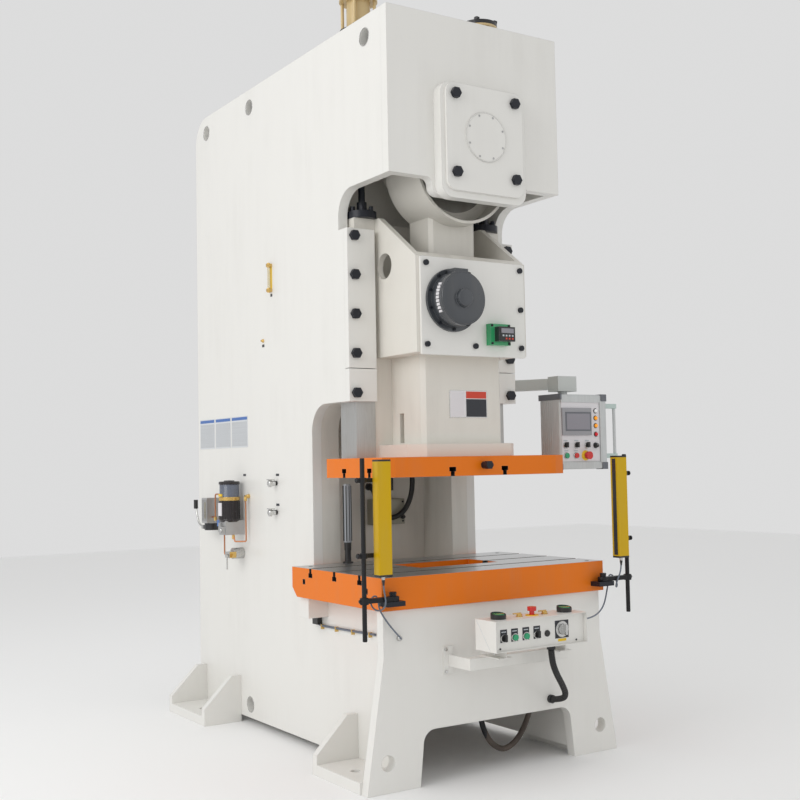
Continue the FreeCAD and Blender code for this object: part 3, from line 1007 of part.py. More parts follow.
def console():
    inner = ("consoleLeft + consoleSheet", "consoleRight - consoleSheet")
    top = "consoleTop - consoleSheet"
    bottom = "consoleBottom + consoleSheet"
    panel = "consoleFront + panelBack"
    outer = box("console_outer", ("consoleLeft", "consoleRight"), ("consoleFront", "consoleRear"),
                ("consoleBottom", "consoleTop"))
    hood = box("console_hood", inner, ("consoleFront - consoleSheet", panel), (bottom, top))
    hollow = box("console_hollow", inner, (panel + " + consoleSheet", "consoleRear - consoleSheet"),
                 (bottom, top))
    tools = [hood, hollow]
    for index, (x, z, radius) in enumerate(panelControls()):
        tools.append(rod("panel_hole_%d" % index, "Y", radius + " + fitClear", (x, z),
                         (panel + " - stemDeep", panel + " + stemDeep")))
    for side, x in (("left", "handMid - palmX"), ("right", "handMid + palmX")):
        tools.append(rod("palm_hole_" + side, "Z", "palmStemR + fitClear", (x, "palmY"),
                         (top + " - stemDeep", "consoleTop + stemDeep")))
    tools.append(rod("stop_hole", "Z", "stopStemR + fitClear", ("handMid", "stopY"),
                     (top + " - stemDeep", "consoleTop + stemDeep")))
    node(cut("console", outer, *tools), "console_box")

    pads = []
    for side, x in (("left", "railLeft"), ("right", "railRight")):
        armX = ("railLeft", "railLeft + railSheet") if side == "left" else ("railRight - railSheet",
                                                                            "railRight")
        pads.append(box("pad_" + side, (x + " - padHalf", x + " + padHalf"),
                        ("bedFront - padThick", "bedFront"),
                        ("padBottom", "padTop")))
        pads.append(box("arm_" + side, armX, ("railFront", "bedFront - padThick"), ("railBottom", "railTop")))
    pads.append(box("rail", ("railLeft", "railRight"), ("railFront", "railFront + railSheet"),
                    ("railBottom", "railTop")))
    pads.append(box("rail_top", ("railLeft", "railRight"), ("railFront", "railRear"),
                    ("railTop - railSheet", "railTop")))
    for side, x in (("left", "-angleX"), ("right", "angleX")):
        span = (x + " - angleHalf", x + " + angleHalf")
        pads.append(box("angle_flat_" + side, span, ("angleFront", "railRear"),
                        ("railTop", "railTop + railSheet")))
        web = (x + " - railSheet / 2", x + " + railSheet / 2")
        pads.append(box("angle_web_" + side, web, ("angleFront", "railRear"), ("railTop", "consoleBottom")))
        pads.append(box("angle_top_" + side, span, ("angleFront", "railRear"),
                        ("consoleBottom - railSheet", "consoleBottom")))
    node(fuse("console_support", *pads), "console_bracket")

    for side, x in (("left", "handMid - palmX"), ("right", "handMid + palmX")):
        low = "consoleTop + palmTravel + fitClear"
        cap = rod("palm_cap_" + side, "Z", "palmR", (x, "palmY"), (low, low + " + palmTall - palmTravel"))
        stem = rod("palm_stem_" + side, "Z", "palmStemR", (x, "palmY"), ("consoleTop - stemDeep", low))
        node(fuse("palm_" + side, cap, stem), "palm_button_" + side)
    low = "consoleTop + stopStemTall"
    head = rod("stop_cap", "Z", "stopHeadR", ("handMid", "stopY"), (low, low + " + stopHeadTall"))
    stem = rod("stop_stem_console", "Z", "stopStemR", ("handMid", "stopY"), ("consoleTop - stemDeep", low))
    node(fuse("stop_button", head, stem), "console_stop")
    for side, x in (("left", "startX"), ("right", "resetX")):
        node(pushButton("push_" + side, x, "rowZ", panel), "console_push_" + side)
    for side, x in (("left", "modeX"), ("right", "feedX")):
        node(knob("selector_" + side, x, "rowZ", panel), "console_selector_" + side)
    base = rod("cam_base", "Y", "camR", ("camX", "camZ"),
               (panel + " - fitClear - camBase", panel + " - fitClear"))
    grip = box("cam_grip", ("camX - knobHalf", "camX + knobHalf"),
               (panel + " - fitClear - camBase - camTall", panel + " - fitClear - camBase"), ("camZ - camR",
                                                                                              "camZ + camR"))
    stem = rod("cam_stem", "Y", "buttonStemR", ("camX", "camZ"),
               (panel + " - fitClear", panel + " + stemDeep"))
    node(fuse("cam_switch", base, grip, stem), "console_cam_switch")


def panelControls():
    spots = [(x, "rowZ", "buttonStemR") for x in ("modeX", "startX", "resetX", "feedX")]
    return spots + [("camX", "camZ", "buttonStemR")]


def pushButton(name, x, z, panel):
    rear = "%s - buttonTravel - fitClear" % panel
    cap = rod(name + "_cap", "Y", "buttonR", (x, z), (rear + " - buttonTall", rear))
    stem = rod(name + "_stem", "Y", "buttonStemR", (x, z), (rear, panel + " + stemDeep"))
    return fuse(name, cap, stem)


def knob(name, x, z, panel, radius="knobBaseR"):
    rear = "%s - fitClear" % panel
    base = rod(name + "_base", "Y", radius, (x, z), (rear + " - knobBase", rear))
    grip = box(name + "_grip", (x + " - knobHalf", x + " + knobHalf"),
               (rear + " - knobBase - knobTall", rear + " - knobBase"),
               ("%s - %s" % (z, radius), "%s + knobLong" % z))
    stem = rod(name + "_stem", "Y", "buttonStemR", (x, z), (rear, panel + " + stemDeep"))
    return fuse(name, base, grip, stem)


def pendant():
    long = "sqrt((jointX - pivotX) * (jointX - pivotX) + (pivotY - jointY) * (pivotY - jointY))"
    overX = "(pivotY - jointY) / %s * armHalfWide" % long
    overY = "(jointX - pivotX) / %s * armHalfWide" % long
    outline = [("pivotX + %s" % overX, "pivotY + %s" % overY), ("pivotX - %s" % overX, "pivotY - %s" % overY),
               ("jointX - %s" % overX, "jointY - %s" % overY), ("jointX + %s" % overX, "jointY + %s" % overY)]
    beam = padded("arm_beam", "XY_Plane", [outline], "2 * armHalfTall", (), ("0", "0", "armZ - armHalfTall"))
    eye = rod("arm_eye", "Z", "armEyeR", ("pivotX", "pivotY"), ("armZ - armHalfTall", "armZ + armHalfTall"))
    block = box("arm_block", ("jointX - jointHalfX", "jointX + jointHalfX"),
                ("jointY - jointHalfY", "jointY + jointHalfY"),
                ("jointBottom", "jointTop"))
    pinHole = rod("arm_pin_hole", "Z", "pivotR + runClear", ("pivotX", "pivotY"),
                  ("armZ - 2 * armHalfTall", "armZ + 2 * armHalfTall"))
    neckHole = rod("arm_neck_hole", "Z", "swivelR + runClear", ("jointX", "jointY"),
                   ("boxTop", "jointBottom + swivelDeep + swivelGap"))
    node(cut("pendant_arm_cut", fuse("pendant_arm_blank", beam, eye, block), pinHole, neckHole),
         "pendant_arm")

    x = ("boxLeft", "boxRight")
    y = ("boxFront", "boxRear")
    outline = [(a, b) for a, b in ((x[0], y[0]), (x[1], y[0]), (x[1], y[1]), (x[0], y[1]))]
    outer = padded("pendant_outer", "XY_Plane", [outline], "boxTop - boxBottom", (), ("0", "0", "boxBottom"),
                   [((0, 1, 2, 3), "boxRound")])
    hollow = box("pendant_hollow", ("boxLeft + boxWall", "boxRight - boxWall"),
                 ("boxFront + boxWall", "boxRear - boxWall"),
                 ("boxBottom + boxWall", "boxTop - boxWall"))
    neck = rod("pendant_neck", "Z", "swivelR", ("jointX", "jointY"),
               ("boxTop - boxWall", "jointBottom + swivelDeep"))
    grip = rod("pendant_grip", "Z", "handleR", ("handleX", "handleY"), ("handleBottom", "handleTop"))
    arms = [box("handle_arm_%d" % index, ("boxRight - boxWall", "handleX + handleR"),
                ("handleY - handleInset", "handleY + handleInset"),
                span) for index, span in enumerate((("handleTop - 2 * handleInset", "handleTop"),
                                                    ("handleBottom", "handleBottom + 2 * handleInset")))]
    holes = [rod("pendant_hole_%d" % index, "Y", "buttonStemR + fitClear", (px, pz),
                 ("boxFront - stemDeep", "boxFront + stemDeep"))
             for index, (px, pz) in enumerate(pendantSpots())]
    shell = cut("pendant_shell", outer, hollow)
    node(cut("pendant_case", fuse("pendant_blank", shell, neck, grip, *arms), *holes), "pendant_box")

    spots = pendantSpots()
    for index in range(3):
        node(knob("pendant_knob_%d" % index, *spots[index], "boxFront", "pendKnobR"),
             "pendant_selector_%d" % (index + 1))
    node(pushButton("pendant_green", *spots[3], "boxFront"), "pendant_push_green")
    node(pushButton("pendant_red", *spots[4], "boxFront"), "pendant_push_red")
    face = "boxFront - stopStemTall"
    head = rod("pendant_stop_cap", "Y", "stopHeadR", spots[5], (face + " - stopHeadTall", face))
    stem = rod("pendant_stop_stem", "Y", "buttonStemR", spots[5], (face, "boxFront + stemDeep"))
    node(fuse("pendant_stop_button", head, stem), "pendant_stop")

    pad = box("pivot_pad", ("frameHalf", "frameHalf + padThick"), ("pivotY - padLong", "pivotY + padLong"),
              ("armZ - padLong", "armZ + padLong"))
    gap = "armHalfTall + swivelGap"
    lugs = [box("pivot_lug_low", ("frameHalf", "pivotX + lugHalf"), ("pivotY - lugHalf", "pivotY + lugHalf"),
                ("armZ - %s - lugTall" % gap, "armZ - (%s)" % gap)),
            box("pivot_lug_high", ("frameHalf", "pivotX + lugHalf"), ("pivotY - lugHalf", "pivotY + lugHalf"),
                ("armZ + %s" % gap, "armZ + %s + lugTall" % gap))]
    pin = rod("pivot_pin", "Z", "pivotR", ("pivotX", "pivotY"),
              ("armZ - %s - lugTall" % gap, "armZ + %s + lugTall" % gap))
    return fuse("pivot_bracket", pad, pin, *lugs)


def pendantSpots():
    row = [("pendKeyX + %d * pendSelPitch" % index, "pendRowTop") for index in range(3)]
    return row + [("pendGreenX", "pendRowLow"), ("pendRedX", "pendRowLow"), ("pendStopX", "pendRowLow")]


def curtain(side, sign, barX, poleX):
    swing = "-swingX" if sign < 0 else "swingX"
    inward = -sign
    bar = box("bar_" + side, (barX + " - barHalf", barX + " + barHalf"), ("barFront", "barRear"),
              ("barBottom", "barTop"))
    middle = "(barFront + barRear) / 2"
    face = "%s + %d * barHalf" % (barX, inward)
    spans = ("%s - %d * barSlot" % (face, inward), "%s + %d * barSlot" % (face, inward))
    spans = spans if inward > 0 else (spans[1], spans[0])
    slot = box("bar_slot_" + side, spans, (middle + " - barSlotHalf", middle + " + barSlotHalf"),
               ("barBottom + barSlot", "barTop - barSlot"))
    bar = cut("bar_cut_" + side, bar, slot)
    plug = rod("bar_plug_" + side, "Z", "connectorR", (barX, middle),
               ("barBottom - connectorLong", "barBottom"))
    pole = rod("pole_" + side, "Z", "poleR", (poleX, "poleY"), ("poleBottom", "poleTop"))
    ends = (poleX + " - armOver", swing + " + armTail") if sign < 0 else (swing + " - armTail",
                                                                          poleX + " + armOver")
    arm = box("swing_arm_" + side, ends, ("swingY - armHalf", "swingY + armHalf"),
              ("armLow", "armLow + armTall"))
    hole = rod("swing_hole_" + side, "Z", "swingR + runClear", (swing, "swingY"),
               ("armLow - armTall", "armLow + 2 * armTall"))
    drill = rod("swing_drill_" + side, "Z", "poleR", (poleX, "poleY"),
                ("armLow - armTall", "armLow + 2 * armTall"))
    parts = [bar, plug, pole, cut("swing_arm_cut_" + side, arm, hole, drill)]
    for name, z in (("low", "stayLow"), ("high", "stayHigh")):
        if sign < 0:
            span = (poleX + " - stayTail", barX + " + stayWide")
        else:
            span = (barX + " - stayWide", poleX + " + stayTail")
        stay = box("stay_%s_%s" % (name, side), span, ("barRear", "barRear + 2 * stayWide"),
                   (z + " - stayHalf", z + " + stayHalf"))
        drill = rod("stay_drill_%s_%s" % (name, side), "Z", "poleR", (poleX, "poleY"),
                    (z + " - 2 * stayHalf", z + " + 2 * stayHalf"))
        parts.append(cut("stay_cut_%s_%s" % (name, side), stay, drill))
    pigtail = leftPigtailRoute if sign < 0 else rightPigtailRoute
    parts.append(tube("pigtail_" + side, pigtail, sizes["cableR"]))
    return group("curtain_group_" + side, *parts)


def curtains():
    node(curtain("left", -1, "barLeftX", "poleLeftX"), "curtain_left")
    node(curtain("right", 1, "barRightX", "poleRightX"), "curtain_right")
    mounts = []
    for side, x in (("left", "-swingX"), ("right", "swingX")):
        block = box("mount_block_" + side, (x + " - mountHalf", x + " + mountHalf"), ("mountFront", "0"),
                    ("mountBottom", "mountTop"))
        pin = rod("mount_pin_" + side, "Z", "swingR", (x, "swingY"), ("mountTop", "knobTop"))
        top = rod("mount_knob_" + side, "Z", "knobR", (x, "swingY"),
                  ("armLow + armTall + holeClear", "knobTop"))
        mounts.append(fuse("mount_" + side, block, pin, top))
    node(group("mounts", *mounts), "curtain_mounts")


def lubrication():
    tank = rod("tank", "Z", "tankR", ("pumpX", "pumpY"), ("bandTop", "tankTop"))
    band = rod("tank_band", "Z", "bandR", ("pumpX", "pumpY"), ("bandBottom", "bandTop"))
    can = rod("pump_can", "Z", "canR", ("pumpX", "pumpY"), ("canBottom", "bandBottom"))
    base = box("pump_base", ("pumpX - pumpHalf", "-frameHalf"), ("pumpY - pumpHalf", "pumpY + pumpHalf"),
               ("pumpBottom", "canBottom"))
    block = box("hand_block", ("handOuter", "handInner"), ("handPumpY - handHalf", "handPumpY + handHalf"),
                ("handBottom", "handTop"))
    back = box("hand_back", ("handInner", "-frameHalf"), ("handPumpY - bowlR / 2", "handPumpY + bowlR / 2"),
               ("handBottom + handHalf", "handTop - handHalf"))
    bowl = rod("hand_bowl", "Z", "bowlR", ("(handOuter + handInner) / 2", "handPumpY"),
               ("bowlBottom", "handBottom"))
    cheeks = []
    for index, sign in enumerate((-1, 1)):
        near = "leverX + %d * (leverHalf + leverClear)" % sign
        far = "leverX + %d * (leverHalf + leverClear + leverCheek)" % sign
        span = (far, near) if sign < 0 else (near, far)
        cheeks.append(box("lever_cheek_%d" % index, span, ("handPumpY + handHalf / 2", "leverY + leverEyeR"),
                          ("leverZ - leverEyeR", "leverZ + leverEyeR")))
    pin = rod("lever_pin", "X", "leverPinR", ("leverY", "leverZ"),
              ("leverX - leverHalf - leverClear - leverCheek",
               "leverX + leverHalf + leverClear + leverCheek"))
    slot = box("lever_slot", ("leverX - leverHalf - leverClear", "leverX + leverHalf + leverClear"),
               ("leverY - leverEyeR - 2 * leverClear", "leverY + 2 * leverEyeR"),
               ("leverZ - 2 * leverEyeR", "leverZ + leverEyeR + leverClear"))
    hand = fuse("hand_pump", cut("hand_body", fuse("hand_blank", block, back, bowl, *cheeks), slot), pin)
    node(group("pumps", fuse("main_pump", tank, band, can, base), hand), "lube_pumps")

    eye = rod("lever_eye", "X", "leverEyeR", ("leverY", "leverZ"),
              ("leverX - leverHalf", "leverX + leverHalf"))
    eyeHole = rod("lever_eye_hole", "X", "leverPinR + runClear", ("leverY", "leverZ"),
                  ("leverX - 2 * leverHalf", "leverX + 2 * leverHalf"))
    leverRoute = [(sizes["leverX"], sizes["leverY"] + sizes["leverEyeR"] - 2, sizes["leverZ"] + 1),
                  (sizes["leverX"], 2064, 1056),
                  (sizes["leverX"], 2104, 1130), (sizes["leverX"], sizes["gripY"], sizes["gripTop"] - 2)]
    bar = tube("lever_bar", leverRoute, sizes["leverR"])
    grip = rod("lever_grip", "Z", "gripR", ("leverX", "gripY"), ("gripBottom", "gripTop"))
    node(fuse("lever", cut("lever_eye_cut", eye, eyeHole), bar, grip), "pump_lever")

    bend = sizes["pipeBend"]
    dropX, loopX, pumpX, plugZ = (sizes[name] for name in ("dropX", "loopX", "pumpX", "plugZ"))
    drop = [(dropX, 1690, 1076), (dropX, 1690, plugZ), (dropX, sizes["blockRear"], plugZ)]
    loop = [(pumpX, 1607, sizes["pumpBottom"]), (pumpX, 1590, 980), (loopX, 1550, 980), (loopX, 1552, 1222),
            (-sizes["frameHalf"], 1552, 1222)]
    feed = [(pumpX, 1706, 1232), (pumpX, 1841, 1232), (pumpX, 1841, 1104),
            (pumpX, sizes["handPumpY"] - sizes["handHalf"], 1104)]
    pipes = [tube("pipe_drop", drop, sizes["pipeR"], bend), tube("pipe_loop", loop, sizes["pipeR"], bend / 2),
             tube("pipe_feed", feed, sizes["pipeR"], bend)]
    node(group("pipes", *pipes), "lube_pipes")

    wall = "-frameHalf"
    body = rod("valve_body", "X", "valveR", ("valveY", "valveZ"), (wall + " - valveOut", wall))
    face = box("valve_block", (wall + " - blockOut", wall + " - valveOut"), ("blockFront", "blockRear"),
               ("blockBottom", "blockTop"))
    plug = rod("valve_plug", "Y", "nutR", ("dropX", "plugZ"), ("blockFront - nutLong", "blockFront"))
    fittings = [fuse("drain_valve", body, face, plug)]
    for name, z in (("high", "cockHigh"), ("low", "cockLow")):
        root = rod("cock_root_" + name, "X", "cockRootR", ("cockY", z), (wall + " - cockRoot", wall))
        stub = rod("cock_stub_" + name, "X", "cockR", ("cockY", z), (wall + " - cockOut", wall))
        fittings.append(fuse("cock_" + name, root, stub))
    node(group("fittings", *fittings, *glands()), "wall_fittings")

    hubEnd = "-frameHalf - blockOut - fitClear"
    hub = rod("drain_hub", "X", "hubR", ("handleHubY", "drainZ"), (hubEnd + " - hubLong", hubEnd))
    bar = rod("drain_bar", "Z", "drainR", (hubEnd + " - hubLong / 2", "handleHubY"), ("drainEnd", "drainZ"))
    node(fuse("drain_lever", hub, bar), "drain_handle")


def build():
    bracket = pendant()
    frame(bracket)
    bearings()
    crank()
    connectingRod()
    drive()
    slide()
    slideFittings()
    bolster()
    console()
    curtains()
    lubrication()
    hoses()


build()
doc.recompute()
os.makedirs("parts", exist_ok=True)
bad = [item.Name for item in doc.Objects if "Invalid" in item.State or "Error" in item.State]
if bad:
    raise SystemExit("objects that failed: " + ", ".join(bad))
for item in nodes:
    if item.Shape.isNull() or not item.Shape.isValid():
        raise SystemExit("bad shape: " + item.Label)
for item in nodes:
    item.Shape.exportStep("parts/%s.step" % item.Label)
    print(item.Label, len(item.Shape.Solids), round(item.Shape.Volume))
print(len(nodes), "nodes")
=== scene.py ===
import math

import bmesh
import bpy
from mathutils import Matrix, Vector


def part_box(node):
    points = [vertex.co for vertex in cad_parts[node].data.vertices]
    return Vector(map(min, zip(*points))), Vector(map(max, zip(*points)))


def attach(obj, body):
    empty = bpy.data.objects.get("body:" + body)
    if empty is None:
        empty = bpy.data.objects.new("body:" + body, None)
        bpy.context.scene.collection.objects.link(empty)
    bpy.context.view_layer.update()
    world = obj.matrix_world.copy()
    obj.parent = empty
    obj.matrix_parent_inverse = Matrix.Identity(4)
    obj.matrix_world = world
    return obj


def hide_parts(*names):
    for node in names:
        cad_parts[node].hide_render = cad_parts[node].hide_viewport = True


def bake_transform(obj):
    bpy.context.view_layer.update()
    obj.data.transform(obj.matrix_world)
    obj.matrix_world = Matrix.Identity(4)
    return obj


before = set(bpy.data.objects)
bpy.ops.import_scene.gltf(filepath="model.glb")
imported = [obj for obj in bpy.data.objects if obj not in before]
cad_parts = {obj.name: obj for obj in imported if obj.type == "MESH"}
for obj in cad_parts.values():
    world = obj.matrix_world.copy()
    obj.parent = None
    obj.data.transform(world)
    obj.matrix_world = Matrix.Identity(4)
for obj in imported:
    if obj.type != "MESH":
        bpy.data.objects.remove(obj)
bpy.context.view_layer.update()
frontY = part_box("bolster")[0][1]  # the bolster's front face
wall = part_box("gib_plates")[0][0]  # outer face of the left side plate


def at(x, y, z):
    # Millimetres on the press, y counted from the bolster's front face, to metres.
    return Vector((x / 1000, y / 1000 + frontY, z / 1000))


view = {"x": -3235.9, "y": -4192.8, "z": 1380, "yaw": 32.986, "pitch": 3.142, "roll": -1.094, "lens": 52.43}
light = {"world": 0.72, "key": 150, "fill": 10, "top": 44, "floor": (0.92, 0.92, 0.915)}


def makeCamera():
    yaw, pitch, roll = (math.radians(view[k]) for k in ("yaw", "pitch", "roll"))
    forward = Vector((math.sin(yaw) * math.cos(pitch), math.cos(yaw) * math.cos(pitch), math.sin(pitch)))
    right = Vector((math.cos(yaw), -math.sin(yaw), 0))
    up = right.cross(forward)
    tiltedRight = math.cos(roll) * right + math.sin(roll) * up
    tiltedUp = math.cos(roll) * up - math.sin(roll) * right
    data = bpy.data.cameras.new("camera")
    data.lens = view["lens"]
    data.sensor_width = 36
    data.clip_end = 60
    camera = bpy.data.objects.new("camera", data)
    bpy.context.scene.collection.objects.link(camera)
    turn = Matrix((tiltedRight, tiltedUp, -forward)).transposed()
    camera.matrix_world = Matrix.Translation(at(view["x"], view["y"], view["z"])) @ turn.to_4x4()
    bpy.context.scene.camera = camera


def areaLight(name, spot, aim, size, power):
    data = bpy.data.lights.new(name, "AREA")
    data.shape = "RECTANGLE"
    data.size, data.size_y = size
    data.energy = power
    lamp = bpy.data.objects.new(name, data)
    bpy.context.scene.collection.objects.link(lamp)
    lamp.location = spot
    lamp.rotation_euler = (Vector(aim) - Vector(spot)).to_track_quat("-Z", "Y").to_euler()


def makeStudio():
    world = bpy.data.worlds.new("studio")
    world.use_nodes = True
    back = world.node_tree.nodes["Background"]
    back.inputs["Color"].default_value = (1, 1, 1, 1)
    back.inputs["Strength"].default_value = light["world"]
    bpy.context.scene.world = world
    bpy.context.scene.view_settings.view_transform = "Standard"
    areaLight("key", (-6.5, -1.6, 4.2), (0, 0, 1.5), (4.5, 4.0), light["key"])
    areaLight("fill", (4.5, -5.5, 3.4), (0, 0, 1.4), (3.5, 3.5), light["fill"])
    areaLight("top", (-0.5, 0.5, 7.0), (0, 0, 2), (5, 5), light["top"])
    mesh = bpy.data.meshes.new("floor")
    reach = 14
    mesh.from_pydata([(-reach, -reach, 0), (reach, -reach, 0), (reach, reach, 0), (-reach, reach, 0)], [],
        [(0, 1, 2, 3)])
    floor = bpy.data.objects.new("floor", mesh)
    bpy.context.scene.collection.objects.link(floor)
    mesh.materials.append(plainSurface("studio floor", light["floor"], 0.75))
    print("camera, lights and floor are set")


def newGroup(name, inputs, outputs):
    tree = bpy.data.node_groups.new(name, "ShaderNodeTree")
    for label, kind, value in inputs:
        socket = tree.interface.new_socket(label, in_out="INPUT", socket_type="NodeSocket" + kind)
        if value is not None:
            socket.default_value = value
    for label, kind in outputs:
        tree.interface.new_socket(label, in_out="OUTPUT", socket_type="NodeSocket" + kind)
    return tree, tree.nodes.new("NodeGroupInput"), tree.nodes.new("NodeGroupOutput")


def mathNode(tree, operation, first, second=None, clamp=False):
    node = tree.nodes.new("ShaderNodeMath")
    node.operation = operation
    node.use_clamp = clamp
    for index, value in enumerate((first, second)):
        if value is None:
            continue
        if isinstance(value, (int, float)):
            node.inputs[index].default_value = value
        else:
            tree.links.new(value, node.inputs[index])
    return node.outputs[0]


def noiseNode(tree, vector, scale, detail=3, roughness=0.5):
    node = tree.nodes.new("ShaderNodeTexNoise")
    node.inputs["Detail"].default_value = detail
    node.inputs["Roughness"].default_value = roughness
    if isinstance(scale, (int, float)):
        node.inputs["Scale"].default_value = scale
    else:
        tree.links.new(scale, node.inputs["Scale"])
    tree.links.new(vector, node.inputs["Vector"])
    return node.outputs["Fac"]


def rangeNode(tree, value, low, high):
    node = tree.nodes.new("ShaderNodeMapRange")
    node.inputs["From Min"].default_value = low
    node.inputs["From Max"].default_value = high
    tree.links.new(value, node.inputs["Value"])
    return node.outputs["Result"]


def makeGrimeGroup():
    # Soft blotches and faint runs down the surface, as shop dust leaves them.
    tree, given, made = newGroup("grime", [("Scale", "Float", 2.0)], [("Mask", "Float"), ("Fine", "Float")])
    spot = tree.nodes.new("ShaderNodeTexCoord").outputs["Object"]
    stretch = tree.nodes.new("ShaderNodeMapping")
    stretch.inputs["Scale"].default_value = (6, 6, 0.7)
    tree.links.new(spot, stretch.inputs["Vector"])
    runs = noiseNode(tree, stretch.outputs["Vector"], given.outputs["Scale"], 5, 0.6)
    blotch = noiseNode(tree, spot, given.outputs["Scale"], 6, 0.55)
    mixed = mathNode(tree, "MULTIPLY", rangeNode(tree, runs, 0.42, 0.72), rangeNode(tree, blotch, 0.40, 0.70),
        True)
    tree.links.new(mixed, made.inputs["Mask"])
    tree.links.new(noiseNode(tree, spot, 55, 3, 0.6), made.inputs["Fine"])
    return tree


def makeEdgeGroup():
    # A mask along convex and concave edges, and a normal that rounds them.
    tree, given, made = newGroup("edge", [("Radius", "Float", 0.003)], [("Mask", "Float"), ("Normal",
        "Vector")])
    bevel = tree.nodes.new("ShaderNodeBevel")
    bevel.samples = 4
    tree.links.new(given.outputs["Radius"], bevel.inputs["Radius"])
    geometry = tree.nodes.new("ShaderNodeNewGeometry")
    dot = tree.nodes.new("ShaderNodeVectorMath")
    dot.operation = "DOT_PRODUCT"
    tree.links.new(bevel.outputs["Normal"], dot.inputs[0])
    tree.links.new(geometry.outputs["Normal"], dot.inputs[1])
    tree.links.new(rangeNode(tree, mathNode(tree, "SUBTRACT", 1.0, dot.outputs["Value"]), 0.02, 0.25),
        made.inputs["Mask"])
    tree.links.new(bevel.outputs["Normal"], made.inputs["Normal"])
    return tree


def makePeelGroup():
    # Fine orange peel of sprayed enamel, and the same noise coarser for castings.
    tree, given, made = newGroup("peel", [("Scale", "Float", 260.0)], [("Height", "Float")])
    spot = tree.nodes.new("ShaderNodeTexCoord").outputs["Object"]
    tree.links.new(noiseNode(tree, spot, given.outputs["Scale"], 2, 0.45), made.inputs["Height"])
    return tree


def makeBrushGroup():
    # Long grinding marks in one direction.
    tree, given, made = newGroup("brush", [("Stretch", "Vector", (1.0, 90.0, 90.0)), ("Scale", "Float", 6.0)],
        [("Marks", "Float"), ("Stain", "Float")])
    spot = tree.nodes.new("ShaderNodeTexCoord").outputs["Object"]
    scaled = tree.nodes.new("ShaderNodeVectorMath")
    scaled.operation = "MULTIPLY"
    tree.links.new(spot, scaled.inputs[0])
    tree.links.new(given.outputs["Stretch"], scaled.inputs[1])
    tree.links.new(noiseNode(tree, scaled.outputs["Vector"], given.outputs["Scale"], 4, 0.6),
        made.inputs["Marks"])
    tree.links.new(noiseNode(tree, spot, 5, 6, 0.65), made.inputs["Stain"])
    return tree


def makeZoneGroup():
    # One inside the block from Low to High, nought outside.
    tree, given, made = newGroup("zone", [("Low", "Vector", None), ("High", "Vector", None)], [("Mask",
        "Float")])
    spot = tree.nodes.new("ShaderNodeTexCoord").outputs["Object"]
    parts = []
    for label, first, second in (("low", spot, given.outputs["Low"]), ("high", given.outputs["High"], spot)):
        gap = tree.nodes.new("ShaderNodeVectorMath")
        gap.operation = "SUBTRACT"
        tree.links.new(first, gap.inputs[0])
        tree.links.new(second, gap.inputs[1])
        split = tree.nodes.new("ShaderNodeSeparateXYZ")
        tree.links.new(gap.outputs["Vector"], split.inputs["Vector"])
        parts += [mathNode(tree, "GREATER_THAN", split.outputs[axis], 0.0) for axis in range(3)]
    total = parts[0]
    for part in parts[1:]:
        total = mathNode(tree, "MULTIPLY", total, part)
    tree.links.new(total, made.inputs["Mask"])
    return tree


groups = {"grime": makeGrimeGroup(), "edge": makeEdgeGroup(), "peel": makePeelGroup(),
    "brush": makeBrushGroup(), "zone": makeZoneGroup()}


def useGroup(tree, name, **values):
    node = tree.nodes.new("ShaderNodeGroup")
    node.node_tree = groups[name]
    for label, value in values.items():
        node.inputs[label].default_value = value
    return node


def mixColours(tree, factor, first, second):
    node = tree.nodes.new("ShaderNodeMix")
    node.data_type = "RGBA"
    tree.links.new(factor, node.inputs["Factor"])
    for socket, value in ((node.inputs["A"], first), (node.inputs["B"], second)):
        if isinstance(value, tuple):
            socket.default_value = (*value, 1)
        else:
            tree.links.new(value, socket)
    return node.outputs["Result"]


def mixValues(tree, factor, first, second):
    node = tree.nodes.new("ShaderNodeMix")
    tree.links.new(factor, node.inputs["Factor"])
    for socket, value in ((node.inputs["A"], first), (node.inputs["B"], second)):
        if isinstance(value, (int, float)):
            socket.default_value = value
        else:
            tree.links.new(value, socket)
    return node.outputs["Result"]


def newMaterial(name):
    material = bpy.data.materials.new(name)
    material.use_nodes = True
    return material, material.node_tree, material.node_tree.nodes["Principled BSDF"]


def plainSurface(name, colour, roughness):
    material, tree, shader = newMaterial(name)
    shader.inputs["Base Color"].default_value = (*colour, 1)
    shader.inputs["Roughness"].default_value = roughness
    return material


